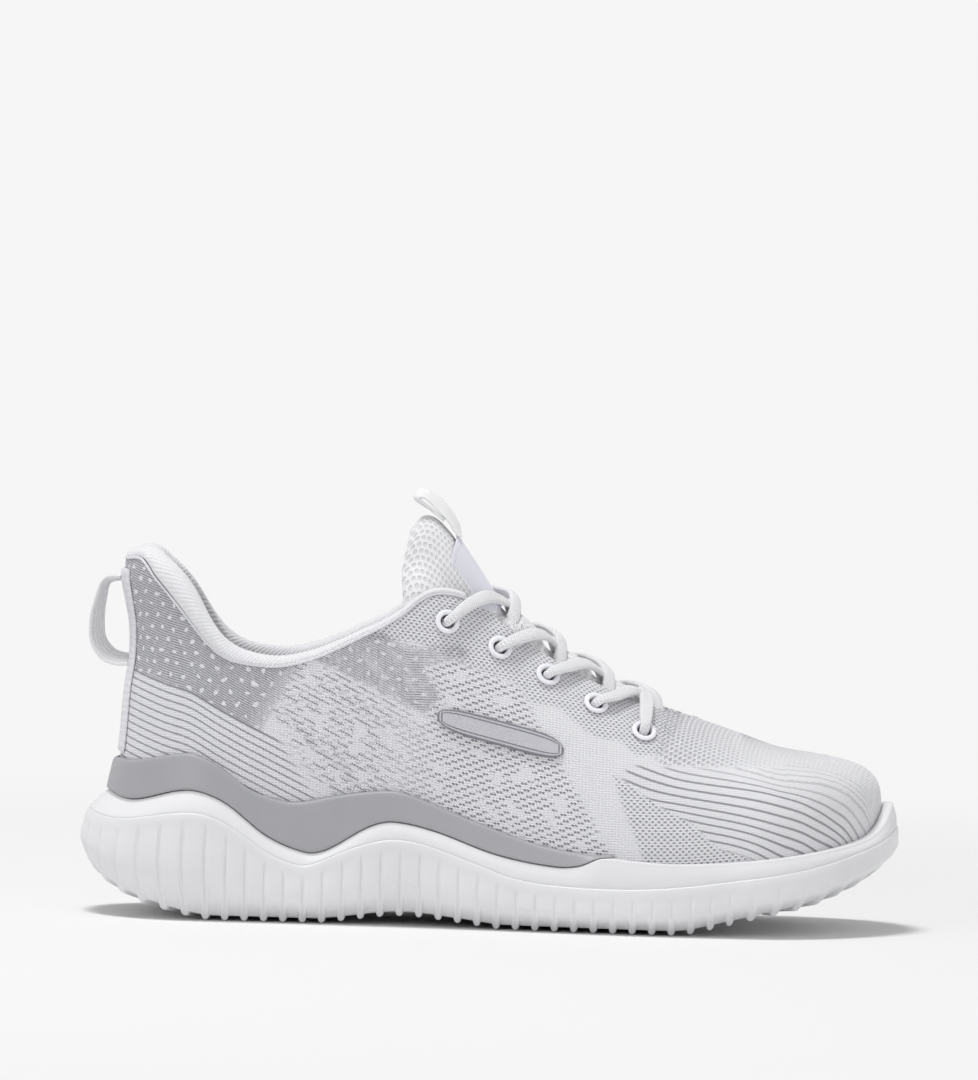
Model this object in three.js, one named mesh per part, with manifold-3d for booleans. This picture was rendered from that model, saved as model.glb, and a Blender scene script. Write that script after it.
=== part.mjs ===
// A right-foot knit running shoe as an assembly of its separate pieces, in millimetres.
// X runs from heel to toe, Y to the medial side, Z up.
// The origin is on the ground under the middle of the sole.
import * as THREE from "three";
import { mergeVertices } from "three/addons/utils/BufferGeometryUtils.js";
import Module from "manifold-3d";

const wasm = await Module();
wasm.setup();

// ---------------------------------------------------------------- driving dimensions
const LATERAL = -1;
const MEDIAL = 1;
const GAP = 0.3; // clearance kept between pieces that touch

const HEEL_POLE_X = -92; // behind this the sections fan round the heel
const TOE_POLE_X = 85; // ahead of this they fan round the toe
const HEEL_REACH = 35.3; // heel pole to the back of the upper
const TOE_REACH = 49; // toe pole to the tip of the upper
const TOE_SKEW = 8; // how far the toe tip leans to the medial side

const TOE_DROP = 4.6; // fall of the toe's top ahead of the toe pole

const KNIT = 1.9; // thickness of the knit upper
const STIFFENER = 1.1; // heel counter and toe puff
const TAPE = 0.7; // eyestay tape
const LINING = 1.0;
const BOARD = 1.4; // strobel board
const SOCK_FOAM = 4.2;
const SOCK_CLOTH = 0.7;
const SOLE_FLOOR = 3; // outsole thickness over the lugs
const SOLE_WALL = 2.8;
const LUG_DEPTH = 1.6;
const RIB_HEIGHT = 0.8;
const LUG_START = 0.35; // where the lugs begin, as a share of the way out to the sole's edge
const LUGS = { toe: 9, side: 27, heel: 16 }; // per toe quarter, per side, round the heel
const THROAT_END_X = 69;

const EYELETS = [ // x along the foot and height of each hole's centre
  [-16.5, 102.6],
  [1.5, 94.2],
  [18, 85.4],
  [34.5, 76.2],
  [51, 67.4],
];
const EYELET = { bore: 2.5, barrel: 2.9, flange: 4.3, hole: 3.25 };

// ---------------------------------------------------------------- smooth tracks along the foot
// Cubic through [x, value] pairs, flat beyond its ends.
function track(...pairs) {
  const slope = (i) => {
    const a = pairs[Math.max(0, i - 1)];
    const b = pairs[Math.min(pairs.length - 1, i + 1)];
    return (b[1] - a[1]) / (b[0] - a[0]);
  };
  return (x) => {
    const last = pairs.length - 1;
    if (x <= pairs[0][0]) return pairs[0][1];
    if (x >= pairs[last][0]) return pairs[last][1];
    const i = pairs.findIndex((p) => p[0] > x) - 1;
    const [x0, v0] = pairs[i];
    const [x1, v1] = pairs[i + 1];
    const w = x1 - x0;
    const t = (x - x0) / w;
    const a = slope(i) * w;
    const b = slope(i + 1) * w;
    return v0 + t * (a + t * (3 * (v1 - v0) - 2 * a - b + t * (2 * (v0 - v1) + a + b)));
  };
}

const centreY = track([-127, 0], [-92, -1], [-30, -4], [30, -2], [60, 0], [85, 1], [134, 9]);
const widthLateral = track([-92, 32], [-60, 33], [-30, 34.5], [0, 38.5], [30, 43], [60, 45.5], [85, 43.5]);
const widthMedial = track([-92, 30], [-60, 28], [-30, 27], [0, 31.5], [30, 39.5], [60, 45], [85, 45]);
const footbedZ = track([-127, 29], [-96, 27.5], [-60, 25], [-30, 21.5], [0, 17.5], [35, 14.5], [65, 14.5],
  [95, 18], [120, 24], [134, 30]);
const ridgeZ = track([-92, 178], [-60, 168], [-40, 152], [-26, 140], [-17, 131], [-8, 121.5], [0, 113],
  [10, 104.5], [20, 97], [30, 90.5], [40, 84.5], [50, 79.5], [60, 75], [70, 71.2], [85, 66]);
const roundR = track([-127, 2.2], [0, 2], [60, 2.1], [95, 2.3], [134, 2.7]); // exponents of the sections
const roundZ = track([-127, 4], [-60, 3.4], [-30, 2.3], [-10, 1.9], [25, 1.9], [60, 2.3], [95, 3.2],
  [134, 7]);
const lean = track([-127, 0.25], [-92, 0.25], [-60, 0.1], [-30, 0]); // how far the ankle walls lean in
const heelBack = track([30, 1], [48, 1], [60, 0.97], [76, 0.94], [87, 0.9], [98, 0.905], [107, 0.955],
  [114, 0.995], [120, 0.985], [128, 0.93]); // reach of the back seam against height

const knitTopZ = track([-126, 120.5], [-121, 120.5], [-116, 114.5], [-111.5, 109.5], [-107, 104.3],
  [-98.5, 94.2], [-93.5, 89.8], [-88, 87.3], [-77, 86], [-70, 86.6], [-61, 89.2], [-52, 93.4],
  [-43.5, 97.8], [-37, 101.2], [-31, 105.3], [-26.5, 109], [-22.5, 111.3], [-18.5, 112], [-13.5, 111.3],
  [-8, 109.3], [0, 105.5]);
const throatHalf = track([0, 14], [20, 14.5], [40, 14.2], [50, 13.2], [58, 11.6], [63, 9.4], [66.5, 6.4],
  [THROAT_END_X, 0]);
const rollRise = track([-126, 4.4], [-120, 5.2], [-115, 8], [-106, 10], [-96, 9], [-86, 6], [-77, 4.8],
  [-60, 3.6], [-40, 3], [-20, 2.4], [-8, 2]);
const rollDepth = track([-126, 9], [-110, 9.8], [-92, 8.8], [-77, 8], [-50, 7.4], [-28, 6], [-9, 5]);

const soleCurve = track([-140, 22], [-137, 17.5], [-131, 12], [-121, 6.6], [-108, 2.6], [-98, 0.5],
  [-93, 0], [-92, 0], [-59, 0], [-58, 0], [-52, 0.6], [-30, 3.2], [-10, 1.6], [2, 0.2], [6, 0], [7, 0],
  [62, 0], [63, 0], [68, 0.6], [80, 3.4], [93, 6.6], [108, 10], [120, 14.6], [128, 18.6], [132, 21.6],
  [136, 25.2], [138, 27.5]);
const soleBottom = (x) => Math.max(0, soleCurve(x));
const ledgeZ = track([-133, 39.5], [-129, 35.8], [-120, 33.2], [-103, 36.2], [-95, 35.6], [-83, 29],
  [-75, 23.6], [-65, 19.8], [-60, 20.2], [-46, 26.2], [-34, 29.2], [-23, 28.2], [-5, 22.3], [9, 17.6],
  [28, 15.6], [54, 15.8], [80, 18.8], [103, 22.8], [120, 28], [131, 33], [138, 40]);
const rimZ = track([-131, 45], [-127, 41.5], [-119, 39.4], [-101.5, 43.6], [-90, 39.8], [-75.5, 29],
  [-62, 23.8], [-55, 25], [-41, 33.1], [-33, 35], [-19, 32.4], [2, 25.3], [21, 22], [30, 22.4],
  [38, 25.4], [48, 24.8], [60, 24.2], [80, 25], [103, 27.7], [120, 31], [127, 33.6], [131, 37.5],
  [134, 43.5], [137, 48.5], [138.5, 50]);
const waveZ = track([-131, 49.5], [-127.5, 52.4], [-121, 52.8], [-103, 56.2], [-97, 54.6], [-92, 51.8],
  [-81, 44.3], [-70, 41.1], [-64, 41], [-51, 43.7], [-36, 45.5], [-29, 44.8], [-5, 36], [14.7, 29.6],
  [30, 26.8], [40, 26.2]);
const flare = track([-127, 12.6], [-92, 8.5], [-40, 7.4], [60, 7], [100, 7], [134, 6]); // sole past the upper
const insetBottom = track([-127, 3], [-92, 6], [100, 6], [134, 4.5]);
const insetLedge = track([-127, 2.2], [-92, 1.2], [100, 1], [134, 0.3]);
const insetRim = track([-127, 9], [-92, 4.8], [-40, 3.6], [60, 3.4], [100, 3.2], [134, 2.2]);

// ---------------------------------------------------------------- sections of the last
// A section is the half plane from a point on the foot's centre line out through the upper's outline.
const power = (c, n, reach) => Math.abs(c / reach) ** n;

function fanRadius(angle, reach, side, n) {
  return (power(Math.cos(angle), n, reach) + power(Math.sin(angle), n, side)) ** (-1 / n);
}

function makeSection(spineX, outlinePoint, tipShare, backShare) {
  const spine = new THREE.Vector2(spineX, centreY(spineX));
  const span = outlinePoint.clone().sub(spine);
  const reach = span.length();
  const d = span.divideScalar(reach);
  const { x } = outlinePoint;
  const foot = footbedZ(x);
  const ridge = ridgeZ(spineX);
  const p = roundR(x);
  const q = roundZ(x);
  const steps = 160;
  const points = [];
  for (let i = 0; i <= steps; i++) {
    const a = (i / steps) * (Math.PI / 2);
    const zeta = Math.sin(a) ** (2 / q);
    const rho = i === steps ? 0 : Math.cos(a) ** (2 / p);
    const crown = ridge - TOE_DROP * tipShare * THREE.MathUtils.smoothstep(rho * reach, 0, 24);
    const z = foot + zeta * (crown - foot);
    const inward = 1 - lean(x) * THREE.MathUtils.smoothstep(z, 45, 135);
    const share = rho * inward * (1 - backShare) + heelBack(z) * backShare * (z < 135 ? 1 : rho);
    points.push(new THREE.Vector2(reach * (i === steps ? 0 : share), z));
  }
  const along = [0];
  for (let i = 1; i <= steps; i++) along.push(along[i - 1] + points[i].distanceTo(points[i - 1]));
  return { spine, d, reach, x, foot, points, along, length: along[steps] };
}

// Fractional place of arc length s on a section, then the point there and the normal in its plane.
function sectionAt(section, s) {
  const { points, along } = section;
  const target = THREE.MathUtils.clamp(s, 0, 1) * section.length;
  let i = along.findIndex((v) => v >= target);
  i = Math.max(1, i);
  const t = (target - along[i - 1]) / (along[i] - along[i - 1] || 1);
  const point = points[i - 1].clone().lerp(points[i], t);
  const ahead = points[Math.min(i + 1, points.length - 1)];
  const tangent = ahead.clone().sub(points[Math.max(i - 2, 0)]).normalize();
  const normal = s >= 1 ? new THREE.Vector2(0, 1) : new THREE.Vector2(tangent.y, -tangent.x);
  return { point, normal };
}

function toWorld(section, r, z) {
  return new THREE.Vector3(section.spine.x + section.d.x * r, section.spine.y + section.d.y * r, z);
}

// A point of the last at arc length s, pushed out by h.
function last(section, s, h = 0) {
  const { point, normal } = sectionAt(section, s);
  return toWorld(section, point.x + normal.x * h, point.y + normal.y * h);
}

function heightShare(section, z) { // the arc share at which a section reaches height z
  let low = 0;
  let high = 1;
  for (let i = 0; i < 40; i++) {
    const mid = (low + high) / 2;
    if (sectionAt(section, mid).point.y < z) low = mid;
    else high = mid;
  }
  return (low + high) / 2;
}

function floorZ(section, r) { // the footbed under the section at radius r
  return footbedZ(section.spine.x + section.d.x * r);
}

function radiusAt(section, z) { // how far out the last is at height z
  return sectionAt(section, heightShare(section, z)).point.x;
}

// The arc share of the knit's top edge: the collar, the throat or the vamp's ridge.
function edgeShare(section, drop = 0) {
  let low = 0;
  let high = 1;
  const spineX = section.spine.x;
  const inside = (s) => {
    const { point } = sectionAt(section, s);
    if (spineX >= 0) return point.x > throatHalf(spineX) + drop;
    return point.y < knitTopZ(section.spine.x + section.d.x * point.x) - drop;
  };
  if (spineX >= THROAT_END_X) return 1;
  for (let i = 0; i < 40; i++) {
    const mid = (low + high) / 2;
    if (inside(mid)) low = mid;
    else high = mid;
  }
  return (low + high) / 2;
}

function sideSection(x, side) {
  const width = side === LATERAL ? widthLateral(x) : widthMedial(x);
  return makeSection(x, new THREE.Vector2(x, side * width), 0, 0);
}

// Angle 0 is the toe tip or the back of the heel, and a quarter turn is the side's first section.
function toeSection(angle, side) {
  const width = side === LATERAL ? widthLateral(TOE_POLE_X) : widthMedial(TOE_POLE_X);
  const half = Math.abs(side * width - centreY(TOE_POLE_X));
  const r = fanRadius(angle, TOE_REACH, half, side === LATERAL ? 1.85 : 2.25);
  const tip = Math.cos(angle);
  const outline = new THREE.Vector2(
    TOE_POLE_X + r * tip,
    centreY(TOE_POLE_X) + side * r * Math.sin(angle) + TOE_SKEW * tip * tip,
  );
  return makeSection(TOE_POLE_X, outline, tip, 0);
}

function heelSection(angle, side) {
  const width = side === LATERAL ? widthLateral(HEEL_POLE_X) : widthMedial(HEEL_POLE_X);
  const half = Math.abs(side * width - centreY(HEEL_POLE_X));
  const r = fanRadius(angle, HEEL_REACH, half, 2.1);
  const outline = new THREE.Vector2(
    HEEL_POLE_X - r * Math.cos(angle),
    centreY(HEEL_POLE_X) + side * r * Math.sin(angle),
  );
  return makeSection(HEEL_POLE_X, outline, 0, Math.cos(angle) ** 1.5);
}

// t runs 0 to 5: toe tip, lateral side, heel, medial side and back to the toe tip.
function sectionAround(t) {
  const quarter = Math.PI / 2;
  if (t <= 1) return toeSection(t * quarter, LATERAL);
  if (t <= 2) return sideSection(THREE.MathUtils.lerp(TOE_POLE_X, HEEL_POLE_X, t - 1), LATERAL);
  if (t <= 2.5) return heelSection((2.5 - t) * Math.PI, LATERAL);
  if (t <= 3) return heelSection((t - 2.5) * Math.PI, MEDIAL);
  if (t <= 4) return sideSection(THREE.MathUtils.lerp(HEEL_POLE_X, TOE_POLE_X, t - 3), MEDIAL);
  return toeSection((5 - t) * quarter, MEDIAL);
}

function sideT(x, side) {
  const share = (TOE_POLE_X - x) / (TOE_POLE_X - HEEL_POLE_X);
  return side === LATERAL ? 1 + share : 4 - share;
}

function spread(from, to, count) {
  return Array.from({ length: count + 1 }, (_, i) => from + ((to - from) * i) / count);
}

function stationsRound(toe, side, heel, extra = []) { // all the way round, without repeating the toe tip
  const extras = extra.flatMap((x) => [sideT(x, LATERAL), sideT(x, MEDIAL)]);
  return [...spread(0, 1, toe), ...spread(1, 2, side).slice(1), ...spread(2, 3, heel).slice(1),
    ...spread(3, 4, side).slice(1), ...spread(4, 5, toe).slice(1, -1), ...extras].sort((a, b) => a - b);
}

// The upper's layers share these, so their facets run parallel; the extra ones round off the throat's end.
const UPPER_STATIONS = stationsRound(7, 20, 12, [THROAT_END_X, 63]);
const SOLE_STATIONS = stationsRound(LUGS.toe, LUGS.side, LUGS.heel); // one at every groove of the sole

const ring = (stations) => stations.map(sectionAround);
const belt = (stations, x) => stations // round the heel, from x on one side to x on the other
  .filter((t) => t > sideT(x, LATERAL) && t < sideT(x, MEDIAL))
  .map(sectionAround);

// ---------------------------------------------------------------- solids from grids of points
function solidOf(vertices, triangles) {
  const raw = new THREE.BufferGeometry();
  raw.setAttribute("position", new THREE.Float32BufferAttribute(vertices.flatMap((v) => [v.x, v.y, v.z]), 3));
  raw.setIndex(triangles);
  const merged = mergeVertices(raw, 1e-3);
  const index = merged.index.array;
  const kept = [];
  for (let i = 0; i < index.length; i += 3) {
    const [a, b, c] = [index[i], index[i + 1], index[i + 2]];
    if (a !== b && b !== c && a !== c) kept.push(a, b, c);
  }
  const at = (i) => new THREE.Vector3().fromBufferAttribute(merged.attributes.position, i);
  let volume = 0;
  for (let i = 0; i < kept.length; i += 3) volume += at(kept[i]).dot(at(kept[i + 1]).cross(at(kept[i + 2])));
  if (volume < 0) kept.reverse();
  merged.setIndex(kept);
  return merged;
}

// A solid between two sheets. corner(i, j, k) is column i, row j of sheet k.
function panel(columns, rows, corner, { around = false, topOpen = () => true } = {}) {
  const wide = around ? columns : columns + 1;
  const at = (i, j, k) => ((k * wide) + (i % wide)) * (rows + 1) + j;
  const vertices = [];
  for (let k = 0; k < 2; k++) {
    for (let i = 0; i < wide; i++) {
      for (let j = 0; j <= rows; j++) vertices.push(corner(i, j, k));
    }
  }
  const triangles = [];
  const quad = (a, b, c, d) => triangles.push(a, b, c, a, c, d);
  for (let i = 0; i < columns; i++) {
    for (let j = 0; j < rows; j++) {
      quad(at(i, j, 0), at(i + 1, j, 0), at(i + 1, j + 1, 0), at(i, j + 1, 0));
      quad(at(i, j, 1), at(i, j + 1, 1), at(i + 1, j + 1, 1), at(i + 1, j, 1));
    }
    quad(at(i, 0, 0), at(i, 0, 1), at(i + 1, 0, 1), at(i + 1, 0, 0));
    if (topOpen(i)) quad(at(i, rows, 0), at(i + 1, rows, 0), at(i + 1, rows, 1), at(i, rows, 1));
  }
  if (!around) {
    for (let j = 0; j < rows; j++) {
      quad(at(0, j, 0), at(0, j + 1, 0), at(0, j + 1, 1), at(0, j, 1));
      quad(at(columns, j, 0), at(columns, j, 1), at(columns, j + 1, 1), at(columns, j + 1, 0));
    }
  }
  return solidOf(vertices, triangles);
}

// A solid of revolution-like form: each section's outline runs from the centre line out and back to it.
function wrap(sections, outline) {
  const columns = sections.map((s) => outline(s).map(([r, z]) => toWorld(s, r, z)));
  const rows = columns[0].length;
  const triangles = [];
  columns.forEach((_, i) => {
    const a = i * rows;
    const b = ((i + 1) % columns.length) * rows;
    for (let j = 0; j + 1 < rows; j++) triangles.push(a + j, b + j, b + j + 1, a + j, b + j + 1, a + j + 1);
  });
  return solidOf(columns.flat(), triangles);
}

// A strap swept along points, with its width along side(i) and rounded edges.
function strap(path, side, halfWidth, halfThick, corners = 8) {
  const vertices = [];
  const n = path.length;
  path.forEach((p, i) => {
    const tangent = path[Math.min(n - 1, i + 1)].clone().sub(path[Math.max(0, i - 1)]).normalize();
    const across = side(i, tangent).clone();
    across.addScaledVector(tangent, -across.dot(tangent)).normalize();
    const up = new THREE.Vector3().crossVectors(tangent, across);
    for (let c = 0; c < corners; c++) {
      const a = ((c + 0.5) / corners) * 2 * Math.PI;
      vertices.push(p.clone()
        .addScaledVector(across, Math.cos(a) * halfWidth(i))
        .addScaledVector(up, Math.sin(a) * halfThick(i)));
    }
  });
  const triangles = [];
  for (let i = 0; i + 1 < n; i++) {
    for (let c = 0; c < corners; c++) {
      const a = i * corners + c;
      const b = i * corners + ((c + 1) % corners);
      triangles.push(a, b, b + corners, a, b + corners, a + corners);
    }
  }
  for (let c = 1; c + 1 < corners; c++) {
    triangles.push(0, c + 1, c);
    const end = (n - 1) * corners;
    triangles.push(end, end + c, end + c + 1);
  }
  return solidOf(vertices, triangles);
}

function sealed(geometry) { // the shape alone, its seams closed
  const bare = geometry.clone();
  bare.deleteAttribute("normal");
  bare.deleteAttribute("uv");
  return mergeVertices(bare, 1e-3);
}

function toManifold(geometry) {
  const merged = sealed(geometry);
  return new wasm.Manifold(new wasm.Mesh({
    numProp: 3,
    vertProperties: merged.attributes.position.array,
    triVerts: new Uint32Array(merged.index.array),
  }));
}

function fromManifold(solid) {
  const mesh = solid.getMesh();
  const geometry = new THREE.BufferGeometry();
  geometry.setAttribute("position", new THREE.BufferAttribute(mesh.vertProperties.slice(), 3));
  geometry.setIndex(new THREE.BufferAttribute(mesh.triVerts.slice(), 1));
  return geometry;
}

function drilled(geometry, tools) {
  return fromManifold(tools.reduce((solid, tool) => solid.subtract(toManifold(tool)), toManifold(geometry)));
}

// ---------------------------------------------------------------- sole unit
function soleWall(section) { // the sole's outer wall from its bottom edge to the rim
  const { x, reach } = section;
  const widest = reach + flare(x);
  const bottomR = widest - insetBottom(x);
  const bottomZ = soleBottom(section.spine.x + section.d.x * bottomR);
  const ledge = Math.max(ledgeZ(x), bottomZ + 6);
  const ledgeR = widest - insetLedge(x);
  const rimR = widest - insetRim(x);
  return { widest, bottomR, bottomZ, ledge, ledgeR, rim: rimZ(x), rimR };
}

function outsoleOutline(section, groove) {
  const wall = soleWall(section);
  const depth = groove ? LUG_DEPTH : 0;
  const rib = groove ? RIB_HEIGHT : 0;
  const ground = (r) => soleBottom(section.spine.x + section.d.x * r);
  const innerR = wall.bottomR - SOLE_WALL;
  const lugR = wall.bottomR * LUG_START;
  const waistZ = THREE.MathUtils.lerp(wall.bottomZ, wall.ledge, 0.45);
  return [
    [0, ground(0) + LUG_DEPTH],
    [lugR - 1.5, ground(lugR - 1.5) + LUG_DEPTH],
    [lugR, ground(lugR) + depth],
    [wall.bottomR - rib, wall.bottomZ + depth],
    [wall.widest - rib, waistZ],
    [wall.ledgeR - rib * 0.5, wall.ledge],
    [wall.ledgeR - SOLE_WALL, wall.ledge],
    [innerR, ground(innerR) + LUG_DEPTH + SOLE_FLOOR],
    [0, ground(0) + LUG_DEPTH + SOLE_FLOOR],
  ];
}

function makeOutsole() {
  // Each lug has a groove section and two tip sections, so its tip is a flat bar.
  const lugs = (from, to, count) => spread(0, count - 1, count - 1).flatMap((i) => {
    const pitch = (to - from) / count;
    return [0, 0.36, 0.72].map((part) => from + pitch * (i + part));
  });
  const mirrored = (list) => list.map((t) => 5 - t).reverse();
  const lateral = [...lugs(0, 1, LUGS.toe), ...lugs(1, 2, LUGS.side)];
  const medial = mirrored(lateral.filter((t) => t > 0));
  const stations = [...lateral, ...lugs(2, 3, LUGS.heel), 3, ...medial];
  const isGroove = (t) => {
    const mirror = t > 3 ? 5 - t : t;
    const count = mirror < 1 ? LUGS.toe : mirror < 2 ? LUGS.side : LUGS.heel;
    const phase = ((mirror % 1) * count) % 1;
    return phase < 0.01 || phase > 0.99;
  };
  return wrap(stations.map((t) => Object.assign(sectionAround(t), { groove: isGroove(t) })),
    (section) => outsoleOutline(section, section.groove));
}

function makeMidsole() {
  return wrap(ring(SOLE_STATIONS), (section) => {
    const wall = soleWall(section);
    const ground = (r) => soleBottom(section.spine.x + section.d.x * r) + LUG_DEPTH + SOLE_FLOOR + GAP;
    const innerR = wall.bottomR - SOLE_WALL - GAP;
    const rim = Math.max(wall.rim, wall.ledge + 2.5);
    const cupR = Math.min(radiusAt(section, Math.max(rim, section.foot)) + 2 * GAP, wall.rimR - 1.2);
    const footR = Math.max(section.reach + 2 * GAP, cupR);
    const floor = (share) => [section.reach * share, floorZ(section, section.reach * share) - GAP];
    return [
      [0, ground(0)],
      [innerR - 0.4, ground(innerR)],
      [wall.ledgeR - SOLE_WALL - GAP - 0.2, wall.ledge],
      [wall.ledgeR - SOLE_WALL - GAP, wall.ledge + GAP + 0.1],
      [wall.ledgeR - 0.3, wall.ledge + GAP + 0.1],
      [wall.rimR, rim],
      [footR, rim],
      [section.reach + 2 * GAP, section.foot - GAP],
      floor(0.72), floor(0.4), floor(0),
    ];
  });
}

function makeSideWave() { // the grey band that rises and falls along both quarters and round the heel
  const sections = belt(SOLE_STATIONS, 42);
  return panel(sections.length - 1, 3, (i, j, k) => {
    const section = sections[i];
    const wall = soleWall(section);
    const low = Math.max(wall.rim, wall.ledge + 2.5) + GAP;
    const high = Math.max(waveZ(section.x), low + 0.8);
    const z = THREE.MathUtils.lerp(low, high, j / 3);
    const inner = radiusAt(section, Math.max(z, section.foot)) + 2 * GAP;
    const thick = THREE.MathUtils.lerp(3.4, 1.5, j / 3);
    return toWorld(section, k === 0 ? inner + thick : inner, z);
  });
}

// A sheet lying on the footbed: bottom raised by lift, its rim turned up by rise behind the ball of the foot.
function footbedSheet(reachOf, lift, thickness, rise) {
  return wrap(ring(stationsRound(5, 11, 6)), (section) => {
    const edge = rise * THREE.MathUtils.smoothstep(-section.x, -20, 40);
    const at = (share, up) => {
      const r = reachOf(section) * share;
      return [r, floorZ(section, r) + lift + up + (share === 1 ? edge : 0)];
    };
    const shares = [0, 0.4, 0.72, 1];
    const under = shares.map((share) => at(share, 0));
    const upper = shares.map((share) => at(share, thickness)).reverse();
    return [...under, ...upper];
  });
}

const boardReach = (section) => section.reach - KNIT - GAP - 0.4;
const sockReach = (section) => section.reach - KNIT - STIFFENER - LINING - 2.2;

// ---------------------------------------------------------------- upper
const lateralEyelets = EYELETS.map(([x, z]) => ({ x, z, side: LATERAL }));
const medialEyelets = EYELETS.map(([x, z]) => ({ x, z, side: MEDIAL }));

// The last's surface as a height over (x, y), for pieces that cross the throat.
function skinZ(x, y) {
  const centre = centreY(x);
  const side = y < centre ? LATERAL : MEDIAL;
  const width = side === LATERAL ? widthLateral(x) : widthMedial(x);
  const rho = Math.min(1, Math.abs(y - centre) / Math.abs(side * width - centre));
  const foot = footbedZ(x);
  return foot + (ridgeZ(x) - foot) * (1 - rho ** roundR(x)) ** (1 / roundZ(x));
}

function skin(x, y, h = 0) {
  const e = 0.4;
  const dx = (skinZ(x + e, y) - skinZ(x - e, y)) / (2 * e);
  const dy = (skinZ(x, y + e) - skinZ(x, y - e)) / (2 * e);
  const normal = new THREE.Vector3(-dx, -dy, 1).normalize();
  return { point: new THREE.Vector3(x, y, skinZ(x, y)).addScaledVector(normal, h), normal };
}

function eyeletY({ x, z, side }) {
  const centre = centreY(x);
  const width = side === LATERAL ? widthLateral(x) : widthMedial(x);
  const zeta = (z - footbedZ(x)) / (ridgeZ(x) - footbedZ(x));
  return centre + side * Math.abs(side * width - centre) * (1 - zeta ** roundZ(x)) ** (1 / roundR(x));
}

function eyeletFrame(eyelet) {
  const y = eyeletY(eyelet);
  const { point, normal } = skin(eyelet.x, y);
  const turn = new THREE.Quaternion().setFromUnitVectors(new THREE.Vector3(0, 1, 0), normal);
  return { y, point, normal, turn };
}

function drills(radius = EYELET.hole) {
  return [...lateralEyelets, ...medialEyelets].map((eyelet) => {
    const { point, turn } = eyeletFrame(eyelet);
    return new THREE.CylinderGeometry(radius, radius, 16, 12).applyQuaternion(turn)
      .translate(point.x, point.y, point.z);
  });
}

function makeKnitUpper() {
  const sections = ring(UPPER_STATIONS);
  const rows = 9;
  const tops = sections.map((section) => edgeShare(section));
  const closed = (i) => tops[i % sections.length] >= 1;
  const corner = (i, j, k) => last(sections[i], (tops[i] * j) / rows, k === 0 ? 0 : -KNIT);
  const topOpen = (i) => !(closed(i) && closed(i + 1));
  const shell = panel(sections.length, rows, corner, { around: true, topOpen });
  return drilled(shell, drills());
}

// A layer inside the upper, between two heights or arc shares of each section.
function layer(sections, rows, span, depth, thickness) {
  return panel(sections.length - 1, rows, (i, j, k) => {
    const [low, high] = span(sections[i], i / (sections.length - 1));
    return last(sections[i], THREE.MathUtils.lerp(low, high, j / rows), -depth - (k === 0 ? 0 : thickness));
  });
}

function makeHeelCounter() {
  const sections = belt(UPPER_STATIONS, -58);
  return layer(sections, 5, (section, along) => {
    const ends = Math.sin(Math.PI * along) ** 0.5;
    const top = Math.min(THREE.MathUtils.lerp(44, 76, ends), knitTopZ(section.x) - 8);
    return [heightShare(section, section.foot + BOARD + 1), heightShare(section, top)];
  }, KNIT + 2 * GAP, STIFFENER);
}

function makeToePuff() {
  const near = UPPER_STATIONS.filter((t) => t > 4.1).concat(UPPER_STATIONS.filter((t) => t < 0.9));
  const sections = near.map(sectionAround);
  const span = (section) => [heightShare(section, section.foot + BOARD + 2), 0.72];
  return layer(sections, 6, span, KNIT + 1, STIFFENER);
}

function makeEyestayTape(side) {
  const sections = spread(-12, 58, 10).map((x) => sideSection(x, side));
  const tape = layer(sections, 2, (section) => {
    const top = edgeShare(section, 2.5);
    return [top - 16 / section.length, top];
  }, KNIT + 0.8, TAPE);
  return drilled(tape, drills());
}

// The padded collar: radial place and height of the roll's outside, crest and inside.
function rollShape(section) {
  const share = edgeShare(section);
  const { point } = sectionAt(section, share);
  const x = section.spine.x + section.d.x * point.x;
  const rise = rollRise(x);
  const depth = rollDepth(x);
  return { share, r: point.x, z: point.y, rise, depth };
}

// The lining's course from its outer hem over the roll and down to the board, moved in to the foam by inset.
function collarPath(section, inset) {
  const { r, z, rise, depth } = rollShape(section);
  const wall = KNIT + STIFFENER + LINING + 3 * GAP + 0.6;
  const bottom = section.foot + BOARD + 1;
  const fade = z - 26 - rise;
  const inside = (height, off) => [radiusAt(section, height) - off + inset, height];
  const down = (share) => inside(THREE.MathUtils.lerp(fade, bottom, share), wall);
  return [
    [r - 0.1 - inset, z + 0.5],
    [r + 0.1 - inset, z + rise * 0.5],
    [r - depth * 0.2 - inset * 0.6, z + rise * 0.9 - inset * 0.8],
    [r - depth * 0.5, z + rise - inset],
    [r - depth * 0.82 + inset * 0.6, z + rise * 0.75 - inset * 0.8],
    [r - depth + inset, z],
    inside(z - 8, depth * 0.94),
    down(0), down(0.4), down(0.75), down(1),
  ];
}

const collarSections = () => belt(UPPER_STATIONS, -9);

function makeCollarLining() {
  const sections = collarSections();
  const courses = sections.map((section) => [collarPath(section, 0), collarPath(section, LINING)]);
  const lining = panel(sections.length - 1, 10, (i, j, k) => toWorld(sections[i], ...courses[i][k][j]));
  return drilled(lining, drills(EYELET.flange));
}

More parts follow.
